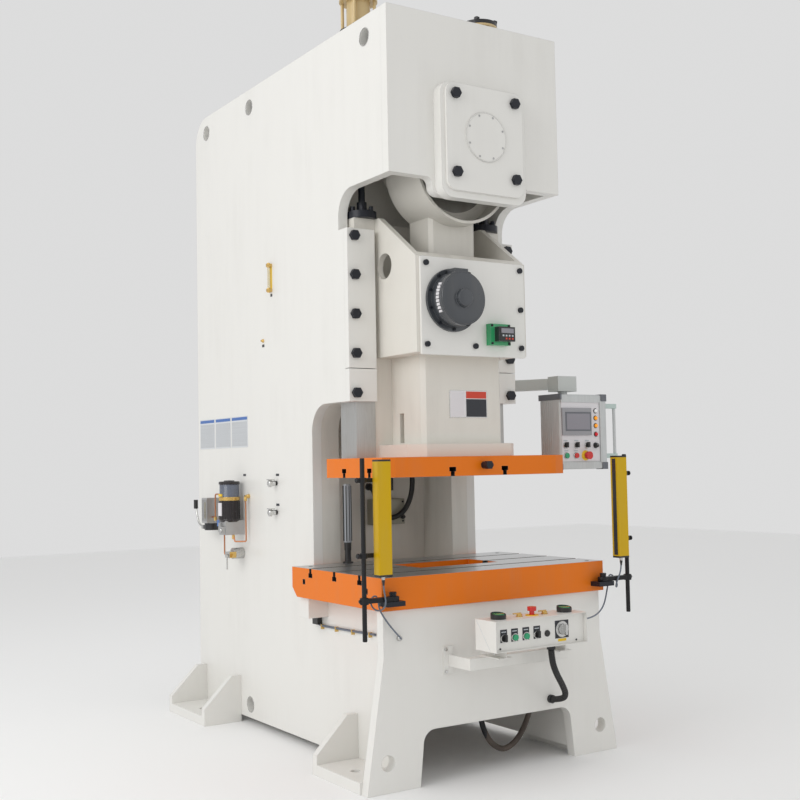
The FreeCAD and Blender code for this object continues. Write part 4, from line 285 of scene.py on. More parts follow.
def surface(name, colour, roughness, metallic=0.0, grime=0.12, dirt=(0.32, 0.29, 0.24), wear=0.0,
        bare=(0.5, 0.49, 0.47), peel=0.0, peelScale=260.0, brush=None, brushDepth=0.0, round=0.0, coat=0.0,
        specular=0.5, zones=()):
    # zones: (low, high, colour, roughness, metallic), painted over the base where the surface lies inside
    # the block.
    material, tree, shader = newMaterial(name)
    grimeNode = useGroup(tree, "grime")
    colourOut = mixColours(tree, mathNode(tree, "MULTIPLY", grimeNode.outputs["Mask"], grime), colour, dirt)
    roughOut = mathNode(tree, "ADD", mathNode(tree, "MULTIPLY", grimeNode.outputs["Fine"], 0.12),
        roughness - 0.06)
    metalOut = None
    if brush:
        brushNode = useGroup(tree, "brush", Stretch=brush)
        shade = rangeNode(tree, brushNode.outputs["Marks"], 0.3, 0.75)
        colourOut = mixColours(tree, mathNode(tree, "MULTIPLY", shade, 0.35), colourOut,
            tuple(c * 0.55 for c in colour))
        stain = rangeNode(tree, brushNode.outputs["Stain"], 0.5, 0.8)
        colourOut = mixColours(tree, mathNode(tree, "MULTIPLY", stain, grime), colourOut, dirt)
        roughOut = mathNode(tree, "ADD", roughOut, mathNode(tree, "MULTIPLY", shade, 0.18))
    for low, high, zoneColour, zoneRough, zoneMetal in zones:
        mask = useGroup(tree, "zone", Low=low, High=high).outputs["Mask"]
        colourOut = mixColours(tree, mask, colourOut, zoneColour)
        roughOut = mixValues(tree, mask, roughOut, zoneRough)
        metalOut = mixValues(tree, mask, metallic if metalOut is None else metalOut, zoneMetal)
    normal = None
    if round or wear:
        edgeNode = useGroup(tree, "edge", Radius=round or 0.002)
        normal = edgeNode.outputs["Normal"]
        if wear:
            worn = mathNode(tree, "MULTIPLY", edgeNode.outputs["Mask"], mathNode(tree, "MULTIPLY",
                grimeNode.outputs["Fine"], wear), True)
            colourOut = mixColours(tree, worn, colourOut, bare)
    if peel or brushDepth:
        bump = tree.nodes.new("ShaderNodeBump")
        bump.inputs["Strength"].default_value = peel or brushDepth
        bump.inputs["Distance"].default_value = 0.0006
        height = useGroup(tree, "peel",
            Scale=peelScale).outputs["Height"] if peel else brushNode.outputs["Marks"]
        tree.links.new(height, bump.inputs["Height"])
        if normal:
            tree.links.new(normal, bump.inputs["Normal"])
        normal = bump.outputs["Normal"]
    if normal:
        tree.links.new(normal, shader.inputs["Normal"])
    tree.links.new(colourOut, shader.inputs["Base Color"])
    tree.links.new(roughOut, shader.inputs["Roughness"])
    if metalOut is None:
        shader.inputs["Metallic"].default_value = metallic
    else:
        tree.links.new(metalOut, shader.inputs["Metallic"])
    shader.inputs["Specular IOR Level"].default_value = specular
    shader.inputs["Coat Weight"].default_value = coat
    shader.inputs["Coat Roughness"].default_value = 0.12
    return material


def clearPlastic(name, tint, roughness, clear):
    material, tree, shader = newMaterial(name)
    grimeNode = useGroup(tree, "grime")
    colourOut = mixColours(tree, mathNode(tree, "MULTIPLY", grimeNode.outputs["Mask"], 0.3), tint,
        tuple(c * 0.5 for c in tint))
    tree.links.new(colourOut, shader.inputs["Base Color"])
    shader.inputs["Roughness"].default_value = roughness
    shader.inputs["Transmission Weight"].default_value = clear
    shader.inputs["IOR"].default_value = 1.49
    return material


def glowing(name, colour, strength, roughness=0.2):
    material, tree, shader = newMaterial(name)
    fine = useGroup(tree, "grime").outputs["Fine"]
    tree.links.new(mixColours(tree, fine, colour, tuple(c * 0.8 for c in colour)),
        shader.inputs["Base Color"])
    shader.inputs["Roughness"].default_value = roughness
    shader.inputs["Emission Color"].default_value = (*colour, 1)
    shader.inputs["Emission Strength"].default_value = strength
    return material


steelColour = (0.5, 0.5, 0.5)
# Near black for the insides of slots and tapped holes: painted shade in the recesses.
recessShadeColour = (0.02, 0.02, 0.02)
skin = 0.0004  # how deep the ground steel reaches below a painted plate's face
bolsterCuts = {"slots": (182, 402, 626), "half": 0.022, "deep": 0.060, "taps": (125, 689), "tapZ": 836,
    "tapLong": 0.065, "tapHalf": 0.0125}
dieCuts = {"across": (255, 478), "along": (-0.150, 0.150), "half": 0.0195, "tall": 0.046}


def bolsterZones():
    low, high = (Vector(c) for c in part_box("bolster"))
    half, tapHalf, tapLong = bolsterCuts["half"], bolsterCuts["tapHalf"], bolsterCuts["tapLong"]
    zones = [((low.x - 1, low.y - 1, high.z - skin), (high.x + 1, high.y + 1, high.z + 1),
        steelColour, 0.28, 0.9)]
    # The slots are painted near black inside and the tapped holes black, as painted shade in the recesses.
    for slotY in bolsterCuts["slots"]:
        middle = at(0, slotY, 0).y
        zones.append(((low.x + 0.001, middle - half, high.z - bolsterCuts["deep"]),
            (high.x - 0.001, middle + half, high.z - 0.0005), (0.05, 0.05, 0.05), 0.5, 0.4))
    for tapY in bolsterCuts["taps"]:
        tap = at(0, tapY, bolsterCuts["tapZ"])
        for x in (low.x, high.x):
            zones.append(((x - tapLong, tap.y - tapHalf, tap.z - tapHalf),
                (x + tapLong, tap.y + tapHalf, tap.z + tapHalf), recessShadeColour, 0.5, 0.2))
    return zones


def dieZones():
    low, high = (Vector(c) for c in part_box("slide_plate"))
    half, roof = dieCuts["half"], low.z + dieCuts["tall"]
    zones = [((low.x - 1, low.y - 1, low.z - 1), (high.x + 1, high.y + 1, low.z + skin),
        steelColour, 0.34, 0.9)]
    # The T-slots are painted black inside, as painted shade in the recesses.
    for slotY in dieCuts["across"]:
        middle = at(0, slotY, 0).y
        zones.append(((low.x + 0.0006, middle - half, low.z + 0.0005), (high.x - 0.0006, middle + half, roof),
            recessShadeColour, 0.5, 0.3))
    for slotX in dieCuts["along"]:
        zones.append(((slotX - half, low.y + 0.0006, low.z + 0.0005), (slotX + half, high.y - 0.0006, roof),
            recessShadeColour, 0.5, 0.3))
    return zones


cream = (0.80, 0.79, 0.755)
orange = (0.80, 0.185, 0.005)
yellow = (0.62, 0.385, 0.001)
finishes = {
    "cream": surface("cream enamel", cream, 0.34, grime=0.10, wear=0.5, peel=0.10, round=0.003, coat=0.25),
    # A darker copy of the cream enamel for the parts inside the frame: the darker base colour is painted
    # shade, and the heavier grime is dirt.
    "shadedInnerCream": surface("cream enamel inside with painted shade", (0.74, 0.715, 0.655), 0.40, grime=0.30, wear=0.6, peel=0.12,
        round=0.003, coat=0.15),
    "orangeTable": surface("orange enamel on the bolster", orange, 0.36, grime=0.16, wear=1.0, peel=0.10,
        round=0.0025, coat=0.05, specular=0.25, zones=bolsterZones()),
    "orangePlate": surface("orange enamel on the slide plate", orange, 0.36, grime=0.16, wear=1.0, peel=0.10,
        round=0.0025, coat=0.05, specular=0.25, zones=dieZones()),
    "ground": surface("ground steel", (0.55, 0.55, 0.54), 0.30, 0.95, grime=0.35, brush=(90.0, 90.0, 2.0),
        brushDepth=0.15, round=0.001),
    "shaft": surface("oiled steel", (0.42, 0.41, 0.39), 0.30, 0.95, grime=0.6, dirt=(0.10, 0.08, 0.05),
        brush=(2.0, 60.0, 2.0), brushDepth=0.1),
    "black": surface("black oxide steel", (0.008, 0.010, 0.017), 0.38, 0.0, grime=0.10,
        dirt=(0.05, 0.05, 0.05), wear=0.12, peel=0.15, round=0.001, specular=0.4),
    "blackPaint": surface("black powder coat", (0.008, 0.008, 0.010), 0.42, 0.0, grime=0.06,
        dirt=(0.06, 0.06, 0.06), wear=0.12, specular=0.35, peel=0.35, peelScale=420, round=0.001),
    "iron": surface("machined cast iron", (0.20, 0.20, 0.20), 0.5, 0.7, grime=0.6, dirt=(0.07, 0.055, 0.04),
        wear=1.0, peel=0.5, peelScale=120, round=0.002),
    "greasedIron": surface("greased gear", (0.13, 0.125, 0.11), 0.32, 0.6, grime=0.8,
        dirt=(0.05, 0.035, 0.015), wear=0.8, peel=0.3, peelScale=90),
    "bronze": surface("bronze bush", (0.55, 0.36, 0.14), 0.34, 0.9, grime=0.3, brush=(2.0, 70.0, 2.0),
        brushDepth=0.1),
    "belt": surface("belt rubber", (0.02, 0.02, 0.02), 0.7, grime=0.4, brush=(90.0, 1.0, 1.0),
        brushDepth=0.5),
    "slate": surface("dark grey enamel", (0.05, 0.056, 0.065), 0.30, 0.15, grime=0.12, wear=0.6, peel=0.16,
        round=0.003, coat=0.5),
    "motorGrey": surface("motor enamel", (0.17, 0.19, 0.20), 0.42, 0.0, grime=0.4, wear=0.8, peel=0.2,
        round=0.001),
    "yellowBar": surface("yellow powder coat", yellow, 0.38, 0.0, grime=0.18, wear=0.5,
        bare=(0.3, 0.22, 0.05), peel=0.3, peelScale=420, round=0.001, specular=0.25),
    "copper": surface("copper tube", (0.62, 0.27, 0.14), 0.30, 0.95, grime=0.5, dirt=(0.16, 0.07, 0.04),
        brush=(20.0, 20.0, 3.0)),
    "brass": surface("brass fitting", (0.72, 0.48, 0.16), 0.26, 0.95, grime=0.3, dirt=(0.25, 0.16, 0.05),
        wear=0.3),
    "chrome": surface("plated steel", (0.62, 0.62, 0.61), 0.16, 1.0, grime=0.3, dirt=(0.25, 0.25, 0.25),
        wear=0.2),
    "castAlloy": surface("cast alloy", (0.50, 0.50, 0.50), 0.45, 0.8, grime=0.35, dirt=(0.20, 0.20, 0.19),
        wear=0.5, peel=0.5, peelScale=200, round=0.0015),
    "alloy": surface("anodised profile", (0.62, 0.64, 0.64), 0.42, 0.25, grime=0.12, wear=0.3,
        brush=(60.0, 60.0, 2.0), round=0.001),
    "paleMetal": surface("pale grey coat", (0.56, 0.58, 0.56), 0.40, 0.1, grime=0.15, wear=0.4, peel=0.2,
        round=0.003),
    "corner": surface("dark corner moulding", (0.14, 0.15, 0.17), 0.48, grime=0.15, peel=0.3, round=0.002),
    "panelWhite": surface("panel film", (0.74, 0.72, 0.74), 0.42, grime=0.08, peel=0.08),
    "darkFilm": surface("dark print film", (0.02, 0.022, 0.03), 0.35, grime=0.15, peel=0.06),
    "redFilm": surface("red print film", (0.62, 0.05, 0.02), 0.38, grime=0.12, peel=0.06),
    "blueFilm": surface("blue print film", (0.06, 0.16, 0.45), 0.4, grime=0.12, peel=0.06),
    "yellowFilm": surface("yellow print film", (0.85, 0.55, 0.01), 0.4, grime=0.12, peel=0.06),
    "greyFilm": surface("pale grey print film", (0.50, 0.54, 0.57), 0.4, grime=0.15, peel=0.06),
    "chartFilm": surface("chart film", (0.66, 0.68, 0.70), 0.4, grime=0.15, peel=0.06),
    "lineFilm": surface("printed lines", (0.56, 0.58, 0.60), 0.4, grime=0.15, brush=(1.0, 0.4, 160.0)),
    "greenCap": surface("green push cap", (0.01, 0.33, 0.14), 0.26, grime=0.06, peel=0.06, round=0.0015,
        coat=0.4),
    "redCap": surface("red push cap", (0.62, 0.012, 0.008), 0.26, grime=0.06, peel=0.06, round=0.0015,
        coat=0.4),
    "yellowPlastic": surface("yellow base ring", (0.85, 0.52, 0.01), 0.35, grime=0.1, peel=0.1, round=0.001),
    "blackPlastic": surface("black moulding", (0.015, 0.015, 0.016), 0.35, grime=0.12, peel=0.25,
        peelScale=380, round=0.001),
    "pumpBlack": surface("brown-black moulding", (0.016, 0.012, 0.014), 0.26, grime=0.2, peel=0.08,
        round=0.002, coat=0.3),
    "hose": surface("black corrugated hose", (0.009, 0.009, 0.010), 0.42, grime=0.12, wear=0.1, peel=0.12),
    "dustyHose": surface("dusty corrugated hose", (0.075, 0.058, 0.048), 0.6, grime=0.9,
        dirt=(0.20, 0.16, 0.13), peel=0.2, zones=[(at(-60, 90, 128), at(-8, 150, 300), (0.012, 0.012, 0.014),
        0.45, 0.0)]),
    "cable": surface("grey cable jacket", (0.13, 0.155, 0.20), 0.46, grime=0.2, peel=0.1),
    "boxGrey": surface("green-grey hammer enamel", (0.36, 0.35, 0.28), 0.45, grime=0.25, wear=0.5, peel=0.3,
        round=0.003),
    "screen": surface("display glass", (0.27, 0.26, 0.29), 0.14, grime=0.3, dirt=(0.24, 0.24, 0.28)),
    "screenFrame": surface("screen surround", (0.33, 0.33, 0.35), 0.45, grime=0.1, peel=0.2, round=0.001),
    "tank": clearPlastic("smoky clear tank", (0.45, 0.50, 0.62), 0.12, 0.75),
    "glassTube": clearPlastic("clear level tube", (0.85, 0.78, 0.55), 0.06, 0.85),
    "amberLamp": glowing("amber lamp", (0.95, 0.36, 0.02), 0.35),
    "redLamp": glowing("red lamp", (0.65, 0.01, 0.02), 0.15),
    "whiteLamp": glowing("clear lamp", (0.85, 0.85, 0.85), 0.15),
    "lampTube": surface("frosted lamp cover", (0.36, 0.38, 0.41), 0.30, 0.35, grime=0.3,
        brush=(60.0, 60.0, 2.0)),
}
print("materials:", len(finishes))


def newPiece(name, bm, finish, body, smooth=35.0, round=0.0, steps=2):
    if round:
        sharp = [e for e in bm.edges if len(e.link_faces) == 2 and e.calc_face_angle(0) > math.radians(30)]
        bmesh.ops.bevel(bm, geom=sharp, offset=round, segments=steps, profile=0.5, affect="EDGES",
            clamp_overlap=True)
    bmesh.ops.recalc_face_normals(bm, faces=bm.faces)
    mesh = bpy.data.meshes.new(name)
    bm.to_mesh(mesh)
    bm.free()
    mesh.materials.append(finishes[finish])
    mesh.polygons.foreach_set("use_smooth", [True] * len(mesh.polygons))
    mesh.set_sharp_from_angle(angle=math.radians(smooth))
    piece = bpy.data.objects.new(name, mesh)
    bpy.context.scene.collection.objects.link(piece)
    if body:
        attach(piece, body)
    return piece


def addSlab(bm, low, high):
    # A block in mm between two corners.
    low, high = at(*low), at(*high)
    corners = [bm.verts.new((x, y, z)) for x in (low.x, high.x) for y in (low.y, high.y) for z in (low.z,
        high.z)]
    for face in ((0, 1, 3, 2), (4, 6, 7, 5), (0, 4, 5, 1), (2, 3, 7, 6), (0, 2, 6, 4), (1, 5, 7, 3)):
        bm.faces.new([corners[i] for i in face])


def slab(name, low, high, finish, body, round=1.0):
    bm = bmesh.new()
    addSlab(bm, low, high)
    return newPiece(name, bm, finish, body, round=round / 1000)


def slabs(name, blocks, finish, body, round=1.0):
    bm = bmesh.new()
    for low, high in blocks:
        addSlab(bm, low, high)
    return newPiece(name, bm, finish, body, round=round / 1000)


axes = {"X": (Vector((1, 0, 0)), Vector((0, 1, 0)), Vector((0, 0, 1))), "Y": (Vector((0, 1, 0)),
    Vector((0, 0, 1)), Vector((1, 0, 0))), "Z": (Vector((0, 0, 1)), Vector((1, 0, 0)), Vector((0, 1, 0)))}


def addTurned(bm, axis, centre, profile, sides=40, closed=False):
    # Spin a profile of (distance along the axis, radius) in mm about the axis through centre.
    along, first, second = axes[axis]
    middle = at(*centre)
    rings = []
    for distance, radius in profile:
        spot = middle + along * distance / 1000
        if radius < 0.01:
            rings.append([bm.verts.new(spot)])
            continue
        ring = []
        for index in range(sides):
            angle = 2 * math.pi * index / sides
            outward = first * math.cos(angle) + second * math.sin(angle)
            ring.append(bm.verts.new(spot + outward * radius / 1000))
        rings.append(ring)
    pairs = list(zip(rings, rings[1:]))
    if closed:
        pairs.append((rings[-1], rings[0]))
    for one, two in pairs:
        for index in range(sides):
            after = (index + 1) % sides
            if len(one) == 1 and len(two) == 1:
                continue
            if len(one) == 1:
                bm.faces.new((one[0], two[index], two[after]))
            elif len(two) == 1:
                bm.faces.new((one[index], two[0], one[after]))
            else:
                bm.faces.new((one[index], two[index], two[after], one[after]))
    if not closed:
        for ring in (rings[0], rings[-1]):
            if len(ring) > 1:
                bm.faces.new(ring)


def turned(name, axis, centre, profile, finish, body, sides=40, closed=False, smooth=32.0):
    bm = bmesh.new()
    addTurned(bm, axis, centre, profile, sides, closed)
    return newPiece(name, bm, finish, body, smooth=smooth)


def capScrew(bm, axis, centre, radius, tall, sign):
    # A socket head with a rounded rim and a round recess.
    rim = radius * 0.12
    deep = tall * 0.45
    addTurned(bm, axis, centre, [(0, radius), (sign * (tall - rim), radius), (sign * tall, radius - rim),
        (sign * tall, radius * 0.5), (sign * (tall - deep), radius * 0.5)], 24)


def hexHead(bm, axis, centre, radius, tall, sign):
    addTurned(bm, axis, centre, [(0, radius * 0.98), (sign * tall * 0.85, radius), (sign * tall,
        radius * 0.88)], 6)


hoses = {
    "console": {"points": [(71, -262, 567), (86, -248, 512), (135, -216, 450), (205, -172, 388),
        (270, -122, 330), (298, -66, 294), (294, 0, 284)], "radius": 14, "pitch": 4.6, "depth": 2.2,
        "finish": "hose"},
    "bed": {"points": [(-40, 120, 252), (-30, 120, 206), (-10, 120, 150), (28, 120, 96), (84, 120, 62),
        (142, 120, 74), (192, 120, 114), (226, 120, 164), (250, 120, 212), (262, 120, 252)], "radius": 13,
        "pitch": 4.2, "depth": 1.5, "finish": "dustyHose"},
    "throat": {"points": [(202, 1082, 1425), (204, 1040, 1405), (206, 1010, 1350), (204, 1000, 1290),
        (198, 1000, 1232), (180, 1000, 1178), (149, 1000, 1134), (108, 1000, 1106), (62, 1000, 1096),
        (20, 1003, 1113), (-6, 1008, 1150), (-14, 1020, 1200), (-12, 1045, 1245), (-12, 1082, 1262)],
        "radius": 14, "pitch": 7.0, "depth": 0.9, "finish": "hose"},
}
cables = {
    "left": {"points": [(-657, -67, 889), (-656, -67, 862), (-650, -66, 836), (-645, -64, 812),
        (-645, -60, 793), (-653, -53, 778), (-668, -44, 772), (-683, -34, 778), (-691, -24, 793),
        (-690, -14, 810), (-681, -10, 823), (-669, -9, 831), (-657, -9, 829), (-649, -9, 815),
        (-647, -9, 798), (-645, -9, 779), (-632, -9, 753), (-612, -8, 726), (-590, -6, 699), (-566, -4, 674),
        (-546, -2, 654), (-532, 0, 640)], "from": (-649, -9, 806), "to": (-585, -6, 692)},
    "right": {"points": [(682, -67, 889), (680, -67, 864), (672, -67, 840), (661, -66, 818), (654, -62, 798),
        (656, -54, 781), (668, -44, 773), (683, -34, 778), (691, -24, 793), (690, -14, 810), (681, -10, 823),
        (669, -9, 831), (657, -9, 829), (649, -9, 815), (647, -9, 798), (645, -9, 777), (637, -10, 752),
        (624, -16, 727), (604, -28, 704), (576, -45, 686), (540, -66, 673), (500, -88, 664), (456, -110, 659),
        (410, -129, 657), (364, -144, 659), (322, -154, 663), (284, -160, 668), (248, -163, 674)],
        "from": (649, -9, 806), "to": (600, -30, 700)},
}
cableR = 3.5


def splineCurve(name, points):
    curve = bpy.data.curves.new(name, "CURVE")
    curve.dimensions = "3D"
    curve.resolution_u = 14
    spline = curve.splines.new("NURBS")
    spline.points.add(len(points) - 1)
    for point, spot in zip(spline.points, points):
        point.co = (*at(*spot), 1)
    spline.order_u = 3
    spline.use_endpoint_u = True
    piece = bpy.data.objects.new(name, curve)
    bpy.context.scene.collection.objects.link(piece)
    return piece


def splineLine(name, points):
    # The points of the smooth line itself, read from a curve with no thickness.
    curve = splineCurve(name + "_line", points)
    mesh = bpy.data.meshes.new_from_object(curve)
    line = [v.co.copy() for v in mesh.vertices]
    bpy.data.meshes.remove(mesh)
    bpy.data.objects.remove(curve)
    return line


def lineLength(line):
    return sum((b - a).length for a, b in zip(line, line[1:]))


def evenLine(line, step):
    # The same line with its points a step apart.
    total = lineLength(line)
    count = max(2, round(total / step))
    spots = []
    gone = 0.0
    part = 0
    for index in range(count + 1):
        want = total * index / count
        while part < len(line) - 2 and gone + (line[part + 1] - line[part]).length < want:
            gone += (line[part + 1] - line[part]).length
            part += 1
        leg = line[part + 1] - line[part]
        spots.append(line[part] + leg * min(1.0, (want - gone) / max(leg.length, 1e-9)))
    return spots


def addTube(bm, line, radii, sides):
    # A closed tube along a line; its cross-section turns as little as it can.
    side = None
    rings = []
    for index, spot in enumerate(line):
        ahead = line[min(index + 1, len(line) - 1)] - line[max(index - 1, 0)]
        ahead.normalize()
        if side is None:
            side = ahead.orthogonal().normalized()
        side = (side - ahead * side.dot(ahead)).normalized()
        other = ahead.cross(side)
        ring = []
        for corner in range(sides):
            angle = 2 * math.pi * corner / sides
            outward = side * math.cos(angle) + other * math.sin(angle)
            ring.append(bm.verts.new(spot + outward * radii[index]))
        rings.append(ring)
    for one, two in zip(rings, rings[1:]):
        for corner in range(sides):
            after = (corner + 1) % sides
            bm.faces.new((one[corner], one[after], two[after], two[corner]))
    bm.faces.new(rings[0])
    bm.faces.new(rings[-1])


def makeHoses():
    for name, hose in hoses.items():
        line = evenLine(splineLine(name, hose["points"]), hose["pitch"] / 6000)
        radii = []
        for index in range(len(line)):
            wave = 0.5 - 0.5 * math.cos(2 * math.pi * index / 6)
            radii.append((hose["radius"] - hose["depth"] * (1 - wave) ** 2) / 1000)
        bm = bmesh.new()
        addTube(bm, line, radii, 20)
        piece = newPiece("hose_" + name, bm, hose["finish"], "frame", smooth=60)
        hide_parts(name + "_hose")
    print("hoses are laid")


def makeCables():
    for side, cable in cables.items():
        line = evenLine(splineLine(side, cable["points"]), 0.004)
        bm = bmesh.new()
        addTube(bm, line, [cableR / 1000] * len(line), 14)
        piece = newPiece("cable_" + side, bm, "cable", None, smooth=60)
        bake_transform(piece)
        if side == "left":
            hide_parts("curtain_cables")
    print("cables are laid")


nodeFinish = {
    "cream": ["side_plate_left", "side_plate_right", "bed_front_plate", "head_front_plate", "machine_feet",
        "bearing_cap", "gib_plates", "slide_cover", "console_box", "console_bracket", "rear_guard"],
    # These inner parts take the cream darkened as painted shade.
    "shadedInnerCream": ["frame_columns", "inner_plates", "connecting_rod", "slide_body"],
    "orangeTable": ["bolster"],
    "orangePlate": ["slide_plate"],
    "black": ["frame_bolts", "slide_bolts", "balance_rods", "curtain_mounts"],
    "bronze": ["shaft_bushes"],
    "shaft": ["crankshaft", "pinion_shaft", "adjusting_screw"],
    "greasedIron": ["main_gear"],
    "iron": ["flywheel", "motor_pulley"],
    "motorGrey": ["motor"],
    "belt": ["drive_belt"],
    "ground": ["slide_guides"],
    "greenCap": ["palm_button_left", "palm_button_right", "console_push_left", "console_push_right",
        "pendant_push_green"],
    "redCap": ["console_stop", "pendant_push_red", "pendant_stop"],
    "blackPlastic": ["console_selector_left", "console_selector_right", "pendant_selector_1",
        "pendant_selector_2", "pendant_selector_3"],
    "chrome": ["console_cam_switch", "drain_handle"],
    "copper": ["lube_pipes"],
    "paleMetal": ["pendant_arm"],
}


def zonedNodes():
    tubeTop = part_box("balance_cylinders")[1][2]
    caps = [((-2, -2, tubeTop - 0.036), (2, 2, tubeTop + 0.01), (0.02, 0.02, 0.022), 0.4, 0.3), ((-2, -2,
        tubeTop - 0.216), (2, 2, tubeTop - 0.1725), (0.02, 0.02, 0.022), 0.4, 0.3)]
    finishes["balancer"] = surface("tan tube with black caps", (0.60, 0.45, 0.22), 0.34, 0.1, grime=0.2,
        peel=0.08, coat=0.3, zones=caps)
    finishes["gauges"] = surface("slate indicator and green counter", (0.05, 0.056, 0.065), 0.30, 0.15,
        grime=0.12, wear=0.6, peel=0.16, round=0.003, coat=0.5, zones=[(at(60, 104, 1915), at(190, 200, 2035),
        (0.03, 0.38, 0.14), 0.36, 0.0),
        (at(60, -60, 1915), at(190, 107, 2035), (0.02, 0.021, 0.025), 0.3, 0.0)])
    brassColour = (0.72, 0.48, 0.16)
    dark = (0.02, 0.02, 0.022)
    finishes["fittings"] = surface("plated fittings", (0.55, 0.55, 0.54), 0.28, 0.95, grime=0.3, wear=0.2,
            round=0.001, zones=[(at(-640, 1560, 880), at(-540, 1594, 930), brassColour, 0.3, 0.95),
            (at(-503, 1200, 1100), at(-489, 1250, 1320), dark, 0.4, 0.2), (at(-100, -300, 240),
            at(340, 200, 600), dark, 0.45, 0.0), (at(-100, 1000, 1200), at(340, 1200, 1500), dark, 0.45,
            0.0)])
    finishes["pumps"] = surface("pump housings", (0.50, 0.50, 0.50), 0.42, 0.8, grime=0.35, wear=0.5,
        peel=0.4, peelScale=200, round=0.0015, zones=[(at(-640, 1590, 1092), at(-480, 1720, 1200),
        (0.016, 0.012, 0.014), 0.26, 0.0), (at(-640, 1590, 1199), at(-480, 1720, 1220), brassColour, 0.28,
        0.9), (at(-640, 1590, 1219), at(-480, 1720, 1310), (0.16, 0.18, 0.22), 0.12, 0.0),
        (at(-640, 1860, 1020), at(-480, 1975, 1069), dark, 0.35, 0.0)])
    finishes["lever"] = surface("plated lever with a black grip", (0.62, 0.62, 0.61), 0.2, 1.0, grime=0.3,
            zones=[(at(-600, 2085, 1145), at(-520, 2140, 1200), dark, 0.4, 0.0)])
    finishes["pendantBody"] = surface("pendant housing", (0.62, 0.64, 0.64), 0.42, 0.2, grime=0.12, wear=0.3,
        brush=(60.0, 60.0, 2.0), round=0.002, zones=[(at(950, 295, 1644), at(1030, 330, 1676),
        (0.50, 0.60, 0.57), 0.45, 0.0), (at(950, 295, 1386), at(1030, 330, 1418), (0.50, 0.60, 0.57), 0.45,
        0.0)])
    return {"balancer": ["balance_cylinders"], "gauges": ["slide_gauges"], "fittings": ["wall_fittings"],
        "pumps": ["lube_pumps"], "lever": ["pump_lever"], "pendantBody": ["pendant_box"]}


def finishNodes():
    table = dict(nodeFinish)
    table.update(zonedNodes())
    for finish, names in table.items():
        for name in names:
            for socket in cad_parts[name].material_slots:
                socket.material = finishes[finish]
    print("finishes are on the packed nodes")


curtain = {"half": 31, "front": -90, "rear": -45, "bottom": 915, "top": 1400, "poleY": -44, "poleBottom": 651,
    "poleTop": 1407, "stays": (1003, 1315), "armLow": 807, "armHigh": 827, "barX": {"left": -657,
    "right": 682}, "poleX": {"left": -737, "right": 742}, "swingX": 592, "swingY": -36}


def makeCurtain(side):
    sign = -1 if side == "left" else 1
    body = "curtain_%s_arm" % side
    barX, poleX = curtain["barX"][side], curtain["poleX"][side]
    half, front, rear = curtain["half"], curtain["front"], curtain["rear"]
    bottom, top = curtain["bottom"], curtain["top"]
    bar = slabs("curtain_bar_" + side, [((barX - half, front, bottom + 8), (barX + half, rear, top - 8))],
        "yellowBar", body, 2.5)
    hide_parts("curtain_" + side)
    slabs("curtain_caps_" + side, [((barX - half, front, z), (barX + half, rear, z + 8)) for z in (bottom,
        top - 8)], "blackPlastic", body, 1.5)
    face = barX - sign * half
    inner, outer = (face - 0.8, face + 2) if sign > 0 else (face - 2, face + 0.8)
    slab("curtain_window_" + side, (inner, -80, bottom + 14), (outer, -56, top - 14), "darkFilm", body, 0.3)
    ribs = [((barX - half - 0.8, y, bottom + 10), (barX + half + 0.8, y + 2.2, top - 10)) for y in (-53, -84)]
    slabs("curtain_ribs_" + side, ribs, "yellowBar", body, 0.4)
    turned("curtain_post_" + side, "Z", (poleX, curtain["poleY"], curtain["poleBottom"]), [(0, 8), (2, 10),
        (curtain["poleTop"] - curtain["poleBottom"] - 2, 10), (curtain["poleTop"] - curtain["poleBottom"],
        8)], "blackPaint", body)
    for index, z in enumerate(curtain["stays"]):
        bm = bmesh.new()
        near, far = sorted((poleX - sign * 12, barX + sign * (half - 6)))
        addSlab(bm, (near, rear, z - 9), (far, rear + 14, z + 9))
        addTurned(bm, "Z", (poleX, curtain["poleY"], z - 11), [(0, 15), (1.5, 17), (20.5, 17), (22, 15)], 28)
        addTurned(bm, "X", (poleX, curtain["poleY"], z), [(sign * 10, 7), (sign * 22, 7), (sign * 23, 11),
            (sign * 30, 11), (sign * 32, 9)], 20)
        addTurned(bm, "Y", (barX + sign * (half - 12), rear + 12, z), [(0, 9), (9, 9), (11, 7)], 20)
        newPiece("curtain_clamp_%s_%d" % (side, index), bm, "blackPaint", body)
    bm = bmesh.new()
    arm = sorted((poleX - sign * 2, sign * (curtain["swingX"] - 18)))
    addSlab(bm, (arm[0], -57, curtain["armLow"]), (arm[1], -31, curtain["armHigh"]))
    addTurned(bm, "Z", (poleX, curtain["poleY"], curtain["armLow"] - 4), [(0, 17), (2, 19), (26, 19),
        (28, 17)], 28)
    addTurned(bm, "X", (poleX, curtain["poleY"], 817), [(sign * 16, 8), (sign * 24, 8), (sign * 25, 6)], 6)
    addTurned(bm, "Z", (sign * curtain["swingX"], curtain["swingY"], curtain["armLow"]), [(0, 24), (1.5, 25),
        (18.5, 25), (20, 24)], 32)
    knob = [(20, 9), (24, 9), (26, 15), (36, 16), (38, 13)]
    addTurned(bm, "Z", (sign * curtain["swingX"], curtain["swingY"], curtain["armLow"]), knob, 12)
    newPiece("curtain_arm_" + side, bm, "blackPaint", body)
    turned("curtain_plug_" + side, "Z", (barX, -67, bottom), [(0, 8), (-7, 8), (-7.5, 7), (-14, 7)], "chrome",
        body, 24)
    turned("curtain_plug_grip_" + side, "Z", (barX, -67, bottom - 13), [(0, 6.5), (-9, 6.6), (-13, 5.4),
        (-22, 4.4), (-24, 3.9)], "blackPlastic", body, 24)


dial = {"x": -128, "z": 2126, "flangeFace": 129, "face": 52}


